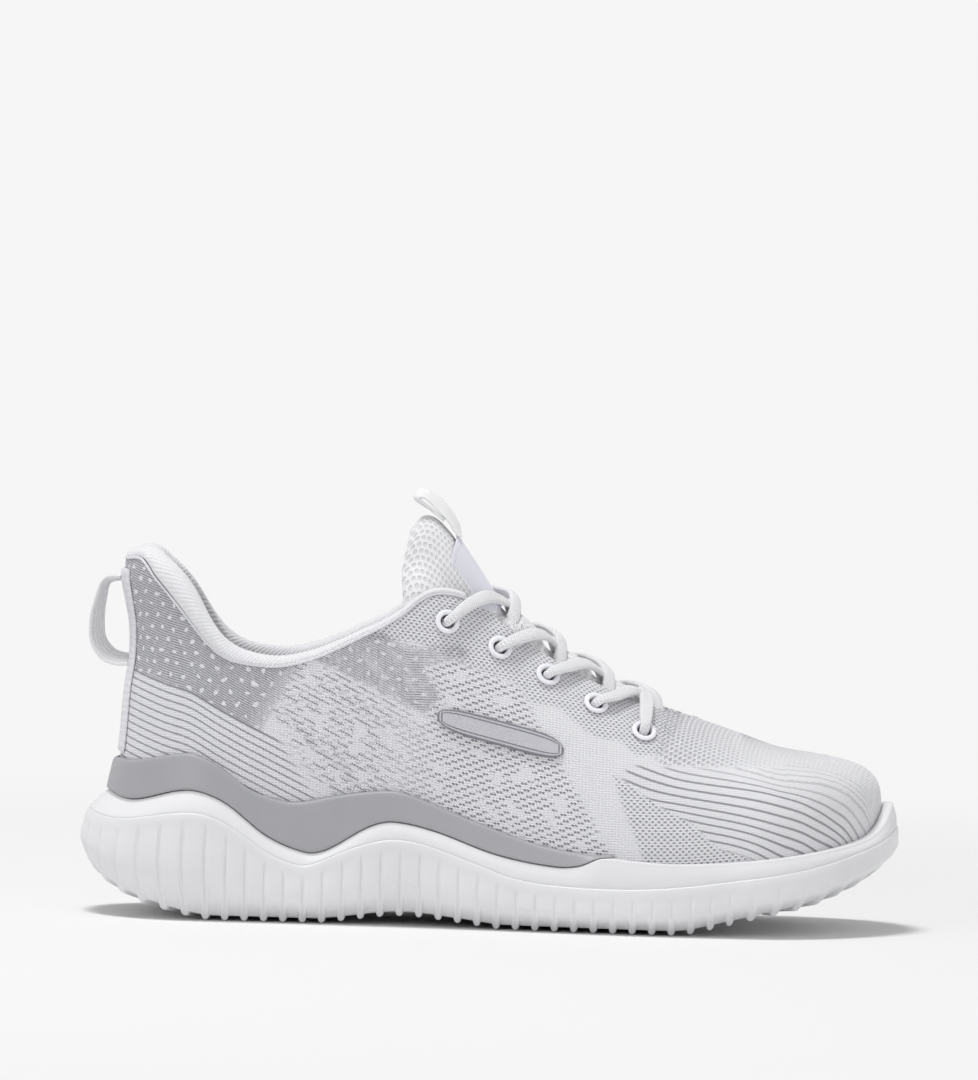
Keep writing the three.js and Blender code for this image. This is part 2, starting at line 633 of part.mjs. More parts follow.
function makeCollarFoam() {
  const sections = collarSections().filter((section) => section.x < -23);
  const sheets = sections.map((section) => {
    const course = collarPath(section, LINING + 3 * GAP);
    const { r, z } = rollShape(section);
    const share = THREE.MathUtils.clamp(6 / (course[6][1] - course[7][1]), 0, 1);
    const foot = course[6].map((v, axis) => THREE.MathUtils.lerp(v, course[7][axis], share));
    const inner = [foot, course[6], course[5], course[4], course[3]];
    const behindKnit = (height) => [radiusAt(section, height) - KNIT - GAP - 0.7, height];
    const shoulder = [r - KNIT - GAP - 0.6, z - 1.2];
    const outer = [behindKnit(foot[1]), behindKnit(z - 7), shoulder, course[1], course[3]];
    return [outer, inner.map(([at, height], row) => [Math.min(at, outer[row][0] - 0.7), height])];
  });
  return panel(sections.length - 1, 4, (i, j, k) => toWorld(sections[i], ...sheets[i][k][j]));
}

function makeHeelTape() { // the narrow woven strip over the back seam
  const half = 0.08;
  const sections = spread(2.5 - half, 2.5 + half, 2).map(sectionAround);
  return panel(2, 8, (i, j, k) => {
    const z = THREE.MathUtils.lerp(54.5, 117, j / 8);
    return last(sections[i], heightShare(sections[i], z), k === 0 ? 1.4 : 0.6);
  });
}

function makeEmblem(side) { // a plain capsule patch welded on the quarter
  const columns = 14;
  return panel(columns, 2, (i, j, k) => {
    const t = i / columns;
    const x = THREE.MathUtils.lerp(-19, 24, t);
    const half = 4.2 * Math.sqrt(Math.max(0.02, 1 - Math.abs(2 * t - 1) ** 5));
    const section = sideSection(x, side);
    const middle = THREE.MathUtils.lerp(71, 60.5, t);
    const z = middle + (j - 1) * half;
    return last(section, heightShare(section, z), k === 0 ? 1.1 : 0.45);
  });
}

// ---------------------------------------------------------------- tongue
const TONGUE = { back: -27, root: 80 };
const tongueHalf = track([-27, 24], [-10, 25], [15, 22], [40, 18], [66, 14], [80, 9]);
const tongueRidge = track([-27, 138.5], [-24.5, 140.5], [-20, 140], [-14, 135], [-8, 127.8], [-2, 119.6],
  [3, 112.5], [10, 105], [20, 97], [30, 90.5], [40, 84.5], [50, 79.5], [60, 75], [70, 71.2], [80, 67.6]);
const tongueDepth = track([-27, 3], [-15, 4], [-5, 5], [10, 5.4], [50, 5.6], [63, 5.4]); // under the last
const tongueWing = track([-27, 6.5], [-10, 6.6], [0, 6.4], [20, 5.2], [63, 4.2]); // extra depth of its wings
const tongueThick = track([-27, 7], [-14, 7], [5, 5.5], [40, 4.4], [80, 3.4]);

function tonguePoint(x, across, depth) { // across runs -1 to 1
  const y = centreY(x) + across * tongueHalf(x);
  const side = across < 0 ? LATERAL : MEDIAL;
  const width = side === LATERAL ? widthLateral(x) : widthMedial(x);
  const rho = Math.min(0.97, Math.abs(y - centreY(x)) / Math.abs(side * width - centreY(x)));
  const foot = footbedZ(x);
  const z = foot + (tongueRidge(x) - foot) * (1 - rho ** roundR(x)) ** (1 / roundZ(x));
  const wing = tongueWing(x) * THREE.MathUtils.smoothstep(Math.abs(across), 0.15, 0.6);
  const total = tongueDepth(x) + wing + depth;
  const normal = new THREE.Vector3(0.55, (across * tongueHalf(x)) / 22, 1).normalize();
  return new THREE.Vector3(x, y, z).addScaledVector(normal, -total);
}

function tongueLayer(from, to) { // shares of the tongue's thickness
  const columns = 12;
  return panel(columns, 6, (i, j, k) => {
    const x = THREE.MathUtils.lerp(TONGUE.back, TONGUE.root, i / columns);
    const across = (j / 6) * 2 - 1;
    const edge = 1 - 0.45 * Math.abs(across) ** 4;
    return tonguePoint(x, across, tongueThick(x) * edge * (k === 0 ? from : to));
  });
}

function makeTongueBadge() {
  return panel(6, 6, (i, j, k) => {
    const x = THREE.MathUtils.lerp(-12, 2, i / 6);
    const across = ((j / 6) * 2 - 1) * THREE.MathUtils.lerp(0.5, 0.32, i / 6);
    return tonguePoint(x, across, k === 0 ? -1.9 : -1.2);
  });
}

function makeTonguePull() { // a folded ribbon stitched at the top of the badge
  const root = tonguePoint(-12.6, 0, -2.6);
  const spine = new THREE.CatmullRomCurve3([
    [1, -0.6], [-1.4, 6.6], [-5, 12.2], [-8.5, 16], [-11.5, 17.2], [-14.2, 16.2], [-15.2, 13.8],
    [-13.2, 10.9], [-9.6, 8.2], [-5.2, 4.4],
  ].map(([x, z]) => new THREE.Vector3(root.x + x, root.y, root.z + z)));
  const path = spine.getSpacedPoints(20);
  return strap(path, () => new THREE.Vector3(0, 1, 0), () => 5, () => 0.55, 6);
}

function makeHeelPull() { // a webbing loop sewn over the back seam
  const back = (z) => last(heelSection(0, LATERAL), heightShare(heelSection(0, LATERAL), z), 0).x;
  const top = 113.2;
  const bottom = 87;
  const path = new THREE.CatmullRomCurve3([
    [back(top) - 3, top], [back(top) - 6.4, top - 1.2], [-137, 105.5], [-138.3, 98.5], [-137.2, 91.5],
    [-133.2, 87.2], [back(bottom) - 5.4, 86], [back(bottom) - 3, 85.8],
  ].map(([x, z]) => new THREE.Vector3(x, centreY(-127), z))).getSpacedPoints(18);
  return strap(path, () => new THREE.Vector3(0, 1, 0), () => 5, () => 0.6, 6);
}

// ---------------------------------------------------------------- eyelets and lace
function makeEyelet(eyelet) {
  const { bore, barrel, flange } = EYELET;
  const profile = [[bore, -4.7], [barrel + 0.5, -4.7], [barrel, -4], [barrel, 0.5], [flange, 0.5],
    [flange - 0.7, 1.2], [bore, 1.1], [bore, -4.7]];
  const { point, turn } = eyeletFrame(eyelet);
  return sealed(new THREE.LatheGeometry(profile.map(([r, z]) => new THREE.Vector2(r, z)), 10))
    .applyQuaternion(turn).translate(point.x, point.y, point.z);
}

// One lace: a bar over the lowest pair, then each half goes in through an eyelet, under its own facing, over
// the tongue and the other facing, and in through the next eyelet up. Its ends are tucked in beside the tongue.
const LACE = { half: 2.5, thick: 1.1, inHole: 1.6, bow: 12 };

function halfLace(startSide) {
  const route = [];
  const add = (x, y, h, squeeze = 0) => route.push({ x, y, h, squeeze });
  let side = startSide;
  const bar = eyeletY({ x: EYELETS[4][0], z: EYELETS[4][1], side });
  const middle = centreY(EYELETS[4][0]);
  add(EYELETS[4][0], middle + (bar - middle) * 0.3, 1.2);
  add(EYELETS[4][0], middle + (bar - middle) * 0.62, 2.4);
  for (let n = 4; n >= 0; n--) {
    const [x, z] = EYELETS[n];
    const y = eyeletY({ x, z, side });
    const out = (y - centreY(x)) / Math.abs(y - centreY(x)); // away from the throat
    add(x + (n === 4 ? 0 : 6), y - out * 3.8, 2.7, 0.3);
    add(x + (n === 4 ? 0 : 1.5), y - out * 0.8, 2.4, 0.9);
    add(x, y, 0.6, 1);
    add(x, y, -4.2, 1);
    if (n === 0) break;
    const [nextX, nextZ] = EYELETS[n - 1];
    const nextY = eyeletY({ x: nextX, z: nextZ, side: -side });
    add(x - 0.2, y - out * 1.6, -6.5, 0.9);
    add(THREE.MathUtils.lerp(x, nextX, 0.16), y - out * 6.5, -6.3, 0.2);
    const crossing = (part, h) => add(
      THREE.MathUtils.lerp(x, nextX, part) + LACE.bow * Math.sin(Math.PI * part) ** 0.8,
      THREE.MathUtils.lerp(y, nextY, part),
      h,
    );
    const over = side === LATERAL ? 1 : 0; // which of the two strands lies on top where they cross
    const badge = n === 1 ? 1.6 : 0; // the top strands lie on the badge
    crossing(0.27, -4.6 + over * 0.2 + badge);
    crossing(0.5, -2.6 + over * 3.3 + badge);
    crossing(0.66, 0.3 + over * 1.6);
    crossing(0.8, 2.3);
    side = -side;
  }
  const [topX, topZ] = EYELETS[0];
  const y = eyeletY({ x: topX, z: topZ, side });
  const out = Math.sign(y - centreY(topX));
  add(topX + 1.5, y + out * 1, -6.8, 0.8);
  add(topX + 7, y + out * 2.2, -7.4, 0.2);
  return { route, side };
}

function tuckedEnd(side) { // along the inside of the quarter, folded back once
  const at = (x, rise) => {
    const section = sideSection(x, side);
    return last(section, edgeShare(section) - (13 + rise) / section.length, -6.8);
  };
  const course = [[2, 0.5], [20, 2], [40, 4], [52, 5.5], [57, 8.5], [53, 12], [42, 13.5], [26, 13.5], [9, 13]];
  return course.map(([x, rise]) => at(x, rise));
}

function laceSide() {
  const build = (startSide) => {
    const { route, side } = halfLace(startSide);
    const steps = route.map(({ x, y, h, squeeze }) => {
      const { point, normal } = skin(x, y, h);
      return { point, normal, squeeze };
    });
    for (const point of tuckedEnd(side)) {
      steps.push({ point, normal: new THREE.Vector3(0, side, 0.35).normalize(), squeeze: 0 });
    }
    return steps;
  };
  return [build(LATERAL), build(MEDIAL)];
}

function makeLace() {
  const [first, second] = laceSide();
  const steps = [...first.reverse(), ...second];
  const curve = new THREE.CatmullRomCurve3(steps.map((s) => s.point), false, "centripetal");
  const perStep = 2;
  const samples = (steps.length - 1) * perStep;
  const path = curve.getPoints(samples);
  const blend = (key) => (i) => {
    const a = Math.min(steps.length - 1, Math.floor(i / perStep));
    const b = Math.min(steps.length - 1, a + 1);
    const t = i / perStep - a;
    return key === "normal" ? steps[a].normal.clone().lerp(steps[b].normal, t)
      : THREE.MathUtils.lerp(steps[a][key], steps[b][key], t);
  };
  const normal = blend("normal");
  const squeeze = blend("squeeze");
  const across = (i, tangent) => new THREE.Vector3().crossVectors(normal(i), tangent);
  const half = (i) => THREE.MathUtils.lerp(LACE.half, LACE.inHole, squeeze(i));
  return { geometry: strap(path, across, half, () => LACE.thick, 6), path };
}

function makeAglet(tip, before) { // the sleeve crimped on a lace end
  const axis = tip.clone().sub(before).normalize();
  const turn = new THREE.Quaternion().setFromUnitVectors(new THREE.Vector3(0, 1, 0), axis);
  const start = tip.clone().addScaledVector(axis, GAP + 8);
  return new THREE.CylinderGeometry(1.3, 1.5, 16, 10).applyQuaternion(turn)
    .translate(start.x, start.y, start.z);
}

// ---------------------------------------------------------------- assembly
const COLOURS = {
  knit: [0xdcdce2, 0.9], webbing: [0xe2e2e2, 0.85], lining: [0xe6e6e6, 0.95], foam: [0xf0ead8, 0.95],
  midsole: [0xebebee, 0.55], outsole: [0xe4e5e8, 0.4], wave: [0x9b9ba3, 0.6], stiffener: [0xd8d2c0, 0.7],
  board: [0xe8e4d8, 0.9], cloth: [0xd0d0d6, 0.9], eyelet: [0xe8e8ee, 0.35], lace: [0xe6e6ec, 0.85],
  badge: [0xd9d9e0, 0.5], emblem: [0xb5b5bb, 0.45], aglet: [0xf2f2f2, 0.25],
};

const shoe = new THREE.Group();

function add(name, geometry, finish) {
  const [color, roughness] = COLOURS[finish];
  const mesh = new THREE.Mesh(geometry, new THREE.MeshStandardMaterial({ color, roughness, metalness: 0 }));
  mesh.name = name;
  shoe.add(mesh);
  return mesh;
}

add("outsole", makeOutsole(), "outsole");
add("midsole", makeMidsole(), "midsole");
add("side_wave", makeSideWave(), "wave");
add("strobel_board", footbedSheet(boardReach, 0, BOARD, 0), "board");
add("sockliner_foam", footbedSheet(sockReach, BOARD + 0.5, SOCK_FOAM, 3), "foam");
add("sockliner_cloth", footbedSheet(sockReach, BOARD + SOCK_FOAM + 1.1, SOCK_CLOTH, 3), "cloth");
add("knit_upper", makeKnitUpper(), "knit");
add("heel_counter", makeHeelCounter(), "stiffener");
add("toe_puff", makeToePuff(), "stiffener");
add("eyestay_tape_lateral", makeEyestayTape(LATERAL), "stiffener");
add("eyestay_tape_medial", makeEyestayTape(MEDIAL), "stiffener");
add("collar_lining", makeCollarLining(), "lining");
add("collar_foam", makeCollarFoam(), "foam");
add("heel_tape", makeHeelTape(), "webbing");
add("heel_pull_loop", makeHeelPull(), "webbing");
add("emblem_lateral", makeEmblem(LATERAL), "emblem");
add("emblem_medial", makeEmblem(MEDIAL), "emblem");
add("tongue_mesh", tongueLayer(0, 0.16), "knit");
add("tongue_foam", tongueLayer(0.26, 0.72), "foam");
add("tongue_lining", tongueLayer(0.86, 1), "lining");
add("tongue_badge", makeTongueBadge(), "badge");
add("tongue_pull_loop", makeTonguePull(), "webbing");
lateralEyelets.forEach((eyelet, i) => add(`eyelet_lateral_${i + 1}`, makeEyelet(eyelet), "eyelet"));
medialEyelets.forEach((eyelet, i) => add(`eyelet_medial_${i + 1}`, makeEyelet(eyelet), "eyelet"));
const lace = makeLace();
add("shoelace", lace.geometry, "lace");
const end = lace.path.length - 1;
add("lace_tip_a", makeAglet(lace.path[0], lace.path[1]), "aglet");
add("lace_tip_b", makeAglet(lace.path[end], lace.path[end - 1]), "aglet");

export default shoe;
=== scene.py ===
"""The looks of a right-foot knit running shoe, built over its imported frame.

Lengths are millimetres until a mesh is made, and metres after that. X runs from heel to toe, Y to the medial
side and Z up, with the ground at Z 0.
"""
import math
from types import SimpleNamespace

import bmesh
import bpy
import numpy as np
from mathutils import Matrix, Vector


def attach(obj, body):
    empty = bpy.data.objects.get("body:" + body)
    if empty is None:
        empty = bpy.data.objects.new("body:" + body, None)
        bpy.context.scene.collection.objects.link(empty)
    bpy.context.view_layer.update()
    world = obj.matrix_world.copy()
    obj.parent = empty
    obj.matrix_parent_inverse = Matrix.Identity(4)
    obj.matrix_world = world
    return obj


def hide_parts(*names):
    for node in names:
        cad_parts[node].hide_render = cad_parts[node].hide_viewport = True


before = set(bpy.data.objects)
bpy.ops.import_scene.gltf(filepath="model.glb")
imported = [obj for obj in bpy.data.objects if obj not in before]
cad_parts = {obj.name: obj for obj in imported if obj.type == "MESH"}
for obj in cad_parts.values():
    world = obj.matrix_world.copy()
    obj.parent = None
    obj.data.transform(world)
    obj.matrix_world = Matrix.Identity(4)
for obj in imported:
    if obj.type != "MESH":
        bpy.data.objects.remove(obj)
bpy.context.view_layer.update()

# ---- driving dimensions
MM = 0.001
LATERAL, MEDIAL = -1, 1
SIDES = {LATERAL: "lateral", MEDIAL: "medial"}

HEEL_POLE_X = -92  # behind this the sections fan round the heel
TOE_POLE_X = 85  # ahead of this they fan round the toe
HEEL_REACH = 35.3
TOE_REACH = 49
TOE_SKEW = 8
TOE_DROP = 4.6
RIDGE_SLOPE = 0.35  # of the ridge where it reaches the toe pole

KNIT = 1.9  # thickness of the knit upper
STIFFENER = 1.1
LINING = 1.0
BOARD = 1.4
SOCK_FOAM = 4.2
SOCK_CLOTH = 0.7
FOOTBED_GAP = 3.7  # round the footbed, inside the linings
SOLE_FLOOR = 3
SOLE_WALL = 2.8
LUG_DEPTH = 1.6
RIB_HEIGHT = 0.8
LUG_START = 0.35
LUGS = {"toe": 9, "side": 27, "heel": 16}
THROAT_END_X = 69

EYELETS = [(-16.5, 102.6), (1.5, 94.2), (18, 85.4), (34.5, 76.2), (51, 67.4)]
HOLE = 3.1  # radius of the knit's eyelet holes
RING = {"bore": 2.5, "barrel": 2.9, "flange": 4.3}


# ---- smooth tracks along the foot
def table(text):
    """An array of the pairs of numbers written in text."""
    return np.array([pair.split() for pair in text.split(",")], float)


def track(text):
    """Cubic through (x, value) pairs, flat beyond its ends."""
    xs, vs = table(text).T
    before = np.maximum(np.arange(len(xs)) - 1, 0)
    after = np.minimum(np.arange(len(xs)) + 1, len(xs) - 1)
    slopes = (vs[after] - vs[before]) / (xs[after] - xs[before])

    def at(x):
        x = np.clip(x, xs[0], xs[-1])
        i = np.clip(np.searchsorted(xs, x, side="right") - 1, 0, len(xs) - 2)
        width = xs[i + 1] - xs[i]
        t = (x - xs[i]) / width
        a, b, rise = slopes[i] * width, slopes[i + 1] * width, vs[i + 1] - vs[i]
        return vs[i] + t * (a + t * (3 * rise - 2 * a - b + t * (a + b - 2 * rise)))

    return at


def smoothstep(v, low, high):
    t = np.clip((np.asarray(v, float) - low) / (high - low), 0, 1)
    return t * t * (3 - 2 * t)


def lerp(a, b, t):
    return a + (b - a) * t


centre_y = track("-127 0, -92 -1, -30 -4, 30 -2, 60 0, 85 1, 134 9")
width_lateral = track("-92 32, -60 33, -30 34.5, 0 38.5, 30 43, 60 45.5, 85 43.5")
width_medial = track("-92 30, -60 28, -30 27, 0 31.5, 30 39.5, 60 45, 85 45")
footbed_z = track("-127 29, -96 27.5, -60 25, -30 21.5, 0 17.5, 35 14.5, 65 14.5, 95 18, 120 24, 134 30")
ridge_z = track("-92 178, -60 168, -40 152, -26 140, -17 131, -8 121.5, 0 113, 10 104.5, 20 97, 30 90.5, 40 84.5, "
                "50 79.5, 60 75, 70 71.2, 85 66")
round_r = track("-127 2.2, 0 2, 60 2.1, 95 2.3, 134 2.7")
round_z = track("-127 4, -60 3.4, -30 2.3, -10 1.9, 25 1.9, 60 2.3, 95 3.2, 134 7")
lean = track("-127 0.25, -92 0.25, -60 0.1, -30 0")
heel_back = track("30 1, 48 1, 60 0.97, 76 0.94, 87 0.9, 98 0.905, 107 0.955, 114 0.995, 120 0.985, 128 0.93")
knit_top_z = track("-126 120.5, -121 120.5, -116 114.5, -111.5 109.5, -107 104.3, -98.5 94.2, -93.5 89.8, -88 87.3, "
                   "-77 86, -70 86.6, -61 89.2, -52 93.4, -43.5 97.8, -37 101.2, -31 105.3, -26.5 109, -22.5 111.3, "
                   "-18.5 112, -13.5 111.3, -8 109.3, 0 105.5")
throat_half = track("0 14, 20 14.5, 40 14.2, 50 13.2, 58 11.6, 63 9.4, 66.5 6.4, 69 0")
roll_rise = track("-126 4.4, -120 5.2, -115 8, -106 10, -96 9, -86 6, -77 4.8, -60 3.6, -40 3, -20 2.4, -8 2")
roll_depth = track("-126 9, -110 9.8, -92 8.8, -77 8, -50 7.4, -28 6, -9 5")
sole_curve = track("-140 22, -137 17.5, -131 12, -121 6.6, -108 2.6, -98 0.5, -93 0, -92 0, -59 0, -58 0, -52 0.6, "
                   "-30 3.2, -10 1.6, 2 0.2, 6 0, 7 0, 62 0, 63 0, 68 0.6, 80 3.4, 93 6.6, 108 10, 120 14.6, 128 18.6, "
                   "132 21.6, 136 25.2, 138 27.5")
ledge_z = track("-133 39.5, -129 35.8, -120 33.2, -103 36.2, -95 35.6, -83 29, -75 23.6, -65 19.8, -60 20.2, -46 26.2, "
                "-34 29.2, -23 28.2, -5 22.3, 9 17.6, 28 15.6, 54 15.8, 80 18.8, 103 22.8, 120 28, 131 33, 138 40")
rim_z = track("-131 45, -127 41.5, -119 39.4, -101.5 43.6, -90 39.8, -75.5 29, -62 23.8, -55 25, -41 33.1, -33 35, "
              "-19 32.4, 2 25.3, 21 22, 30 22.4, 38 25.4, 48 24.8, 60 24.2, 80 25, 103 27.7, 120 31, 127 33.6, "
              "131 37.5, 134 43.5, 137 48.5, 138.5 50")
wave_z = track("-131 49.5, -127.5 52.4, -121 52.8, -103 56.2, -97 54.6, -92 51.8, -81 44.3, -70 41.1, -64 41, "
               "-51 43.7, -36 45.5, -29 44.8, -5 36, 14.7 29.6, 30 26.8, 40 26.2")
flare = track("-127 12.6, -92 8.5, -40 7.4, 60 7, 100 7, 134 6")
inset_bottom = track("-127 3, -92 6, 100 6, 134 4.5")
inset_ledge = track("-127 2.2, -92 1.2, 100 1, 134 0.3")
inset_rim = track("-127 9, -92 4.8, -40 3.6, 60 3.4, 100 3.2, 134 2.2")
rib_share = track("-130 1, -60 0.9, 0 0.75, 60 0.5, 110 0.4")  # the ribs fade to the toe

TONGUE_TOP, TONGUE_END = -27.0, 80.0  # in x
tongue_half = track("-27 24, -10 25, 15 22, 40 18, 66 14, 80 9")
tongue_ridge = track("-27 138.5, -24.5 140.5, -20 140, -14 135, -8 127.8, -2 119.6, 3 112.5, 10 105, 20 97, 30 90.5, "
                     "40 84.5, 50 79.5, 60 75, 70 71.2, 80 67.6")
tongue_depth = track("-27 3, -15 4, -5 5, 10 5.4, 50 5.6, 63 5.4")
tongue_wing = track("-27 6.5, -10 6.6, 0 6.4, 20 5.2, 63 4.2")
tongue_thick = track("-27 7, -14 7, 5 5.5, 40 4.4, 80 3.4")


def width_at(x, side):
    return np.where(np.asarray(side) < 0, width_lateral(x), width_medial(x))


def half_width(x, side):
    """From the centre line out to the upper's outline."""
    return np.abs(side * width_at(x, side) - centre_y(x))


def sole_bottom(x):
    return np.maximum(0, sole_curve(x))


def arc_length(points):
    return np.concatenate([[0], np.cumsum(np.linalg.norm(np.diff(points, axis=0), axis=1))])


# ---- sections of the last
class Section:
    """The half plane from a point on the foot's centre line out through the upper's outline."""

    STEPS = 160

    def __init__(self, spine_x, outline, tip_share=0.0, back_share=0.0):
        self.spine = np.array([spine_x, centre_y(spine_x)])
        span = np.array(outline, float) - self.spine
        self.reach = math.hypot(*span)
        self.d = span / self.reach
        self.x = float(outline[0])
        self.foot = footbed_z(self.x)
        a = np.linspace(0, math.pi / 2, self.STEPS + 1)
        rho = np.clip(np.cos(a), 0, 1) ** (2 / round_r(self.x))
        rho[-1] = 0
        ridge = ridge_z(spine_x)
        out = rho * self.reach
        crown = ridge - tip_share * (TOE_DROP * smoothstep(out, 0, 24) + RIDGE_SLOPE * out * np.exp(-out / 16))
        z = self.foot + np.sin(a) ** (2 / round_z(self.x)) * (crown - self.foot)
        inward = 1 - lean(self.x) * smoothstep(z, 45, 135)
        share = rho * inward * (1 - back_share) + heel_back(z) * back_share * np.where(z < 135, 1, rho)
        share[-1] = 0
        self.points = np.column_stack([self.reach * share, z])
        self.along = arc_length(self.points)
        self.length = self.along[-1]
        tangent = np.gradient(self.points, axis=0)
        tangent /= np.maximum(np.hypot(*tangent.T), 1e-9)[:, None]
        self.normals = np.column_stack([tangent[:, 1], -tangent[:, 0]])
        self.normals[-1] = (0, 1)

    def at(self, share):
        """Radius and height at arc shares, and the normal in the section's plane."""
        target = np.clip(share, 0, 1) * self.length
        both = np.column_stack([self.points, self.normals])
        found = np.column_stack([np.interp(target, self.along, column) for column in both.T])
        return found[:, :2], found[:, 2:]

    def world(self, r, z):
        r, z = np.broadcast_arrays(np.asarray(r, float), np.asarray(z, float))
        return np.stack([self.x_at(r), self.spine[1] + self.d[1] * r, z], -1)

    def x_at(self, r):
        return self.spine[0] + self.d[0] * r

    def skin(self, share, h=0.0):
        """Points of the last at arc shares, pushed out by h."""
        point, normal = self.at(np.atleast_1d(share))
        pushed = point + normal * np.reshape(h, (-1, 1))
        return self.world(pushed[:, 0], pushed[:, 1])

    def share_at_height(self, z):
        return np.interp(z, self.points[:, 1], self.along) / self.length

    def radius_at(self, z):
        return np.interp(z, self.points[:, 1], self.points[:, 0])

    def floor(self, r):
        return footbed_z(self.x_at(r))

    def edge(self):
        """The arc share of the knit's top edge: collar, throat or, past the throat, the ridge."""
        if self.spine[0] >= THROAT_END_X:
            return 1.0
        r, z = self.points.T
        if self.spine[0] >= 0:
            inside = r - throat_half(self.spine[0])
        else:
            inside = knit_top_z(self.x_at(r)) - z
        i = int(np.argmax(inside <= 0))
        t = inside[i - 1] / (inside[i - 1] - inside[i])
        return lerp(self.along[i - 1], self.along[i], t) / self.length


def side_section(x, side):
    return Section(x, (x, side * width_at(x, side)))


def fan_radius(angle, reach, side, n):
    return (abs(math.cos(angle) / reach) ** n + abs(math.sin(angle) / side) ** n) ** (-1 / n)


def toe_section(angle, side):
    squareness = 2 + (-0.15 if side == LATERAL else 0.25) * smoothstep(angle, 0, 0.8)
    r = fan_radius(angle, TOE_REACH, half_width(TOE_POLE_X, side), squareness)
    tip = math.cos(angle)
    y = centre_y(TOE_POLE_X) + side * r * math.sin(angle) + TOE_SKEW * tip * tip
    return Section(TOE_POLE_X, (TOE_POLE_X + r * tip, y), tip_share=tip)


def heel_section(angle, side):
    r = fan_radius(angle, HEEL_REACH, half_width(HEEL_POLE_X, side), 2.1)
    y = centre_y(HEEL_POLE_X) + side * r * math.sin(angle)
    return Section(HEEL_POLE_X, (HEEL_POLE_X - r * math.cos(angle), y), back_share=max(0, math.cos(angle)) ** 1.5)


def section_around(t):
    """t runs 0 to 5: toe tip, lateral side, heel, medial side and back to the toe tip."""
    if t <= 1:
        return toe_section(t * math.pi / 2, LATERAL)
    if t <= 2:
        return side_section(lerp(TOE_POLE_X, HEEL_POLE_X, t - 1), LATERAL)
    if t <= 2.5:
        return heel_section((2.5 - t) * math.pi, LATERAL)
    if t <= 3:
        return heel_section((t - 2.5) * math.pi, MEDIAL)
    if t <= 4:
        return side_section(lerp(HEEL_POLE_X, TOE_POLE_X, t - 3), MEDIAL)
    return toe_section((5 - t) * math.pi / 2, MEDIAL)


def side_t(x, side):
    share = (TOE_POLE_X - x) / (TOE_POLE_X - HEEL_POLE_X)
    return 1 + share if side == LATERAL else 4 - share


def stations_round(toe, side, heel):
    """All the way round the shoe, without repeating the toe tip."""
    return np.concatenate([np.linspace(0, 1, toe + 1), np.linspace(1, 2, side + 1)[1:],
                           np.linspace(2, 3, heel + 1)[1:], np.linspace(3, 4, side + 1)[1:],
                           np.linspace(4, 5, toe + 1)[1:-1]])


def belt(x, count):
    """Sections round the heel, from x on the lateral side to x on the medial."""
    return [section_around(t) for t in np.linspace(side_t(x, LATERAL), side_t(x, MEDIAL), count)]


# ---- curves
def centripetal(points, samples):
    """Points of a centripetal Catmull-Rom curve, evenly spread over its steps, and each one's step number."""
    points = np.array(points, float)
    ends = [2 * points[0] - points[1], *points, 2 * points[-1] - points[-2]]
    out, steps = [], np.linspace(0, len(points) - 1, samples)
    for step in steps:
        i = min(int(step), len(points) - 2)
        p = ends[i:i + 4]
        knots = [max(np.linalg.norm(p[k + 1] - p[k]) ** 0.5, 1e-4) for k in range(3)]
        a = ((p[1] - p[0]) / knots[0] - (p[2] - p[0]) / (knots[0] + knots[1]) + (p[2] - p[1]) / knots[1]) * knots[1]
        b = ((p[2] - p[1]) / knots[1] - (p[3] - p[1]) / (knots[1] + knots[2]) + (p[3] - p[2]) / knots[2]) * knots[1]
        t, rise = step - i, p[2] - p[1]
        out.append(p[1] + t * (a + t * (3 * rise - 2 * a - b + t * (a + b - 2 * rise))))
    return np.array(out), steps


def spaced(points, samples):
    """The same curve with its points spaced evenly."""
    fine, _ = centripetal(points, 40 * len(points))
    along = arc_length(fine)
    want = np.linspace(0, along[-1], samples)
    return np.column_stack([np.interp(want, along, column) for column in fine.T])


def bulge(distance, radius):
    """How full a rounded edge is at a distance in from it, 0 at the edge and 1 past the radius."""
    return np.sqrt(np.maximum(0, 1 - (1 - np.clip(distance / radius, 0, 1)) ** 2))


def clustered(count):
    """0 to 1, closer together at both ends."""
    return (1 - np.cos(np.linspace(0, math.pi, count))) / 2


# ---- meshes
def in_scene(name, data):
    thing = bpy.data.objects.new(name, data)
    bpy.context.scene.collection.objects.link(thing)
    return thing


def sheet_quads(wide, high, around=False):
    i = np.arange(wide if around else wide - 1)
    j = np.arange(high - 1)
    a = i[:, None] * high + j
    b = ((i + 1) % wide)[:, None] * high + j
    return np.stack([a, b, b + 1, a + 1], -1)


def shell_faces(wide, high, around=False, keep=None):
    """Two sheets of one grid and the walls that join them wherever a kept cell has no kept neighbour."""
    cells = sheet_quads(wide, high, around)
    count = wide * high
    if keep is None:
        keep = np.ones(cells.shape[:2], bool)
    framed = np.pad(keep, 1)
    if around:
        framed[0, 1:-1] = keep[-1]
        framed[-1, 1:-1] = keep[0]
    faces = [cells[keep], cells[keep][:, ::-1] + count]
    for corner, (di, dj) in enumerate([(0, -1), (1, 0), (0, 1), (-1, 0)]):
        beside = framed[1 + di:framed.shape[0] - 1 + di, 1 + dj:framed.shape[1] - 1 + dj]
        edge = cells[keep & ~beside]
        p, q = edge[:, corner], edge[:, (corner + 1) % 4]
        faces.append(np.stack([q, p, p + count, q + count], -1))
    return np.concatenate(faces)


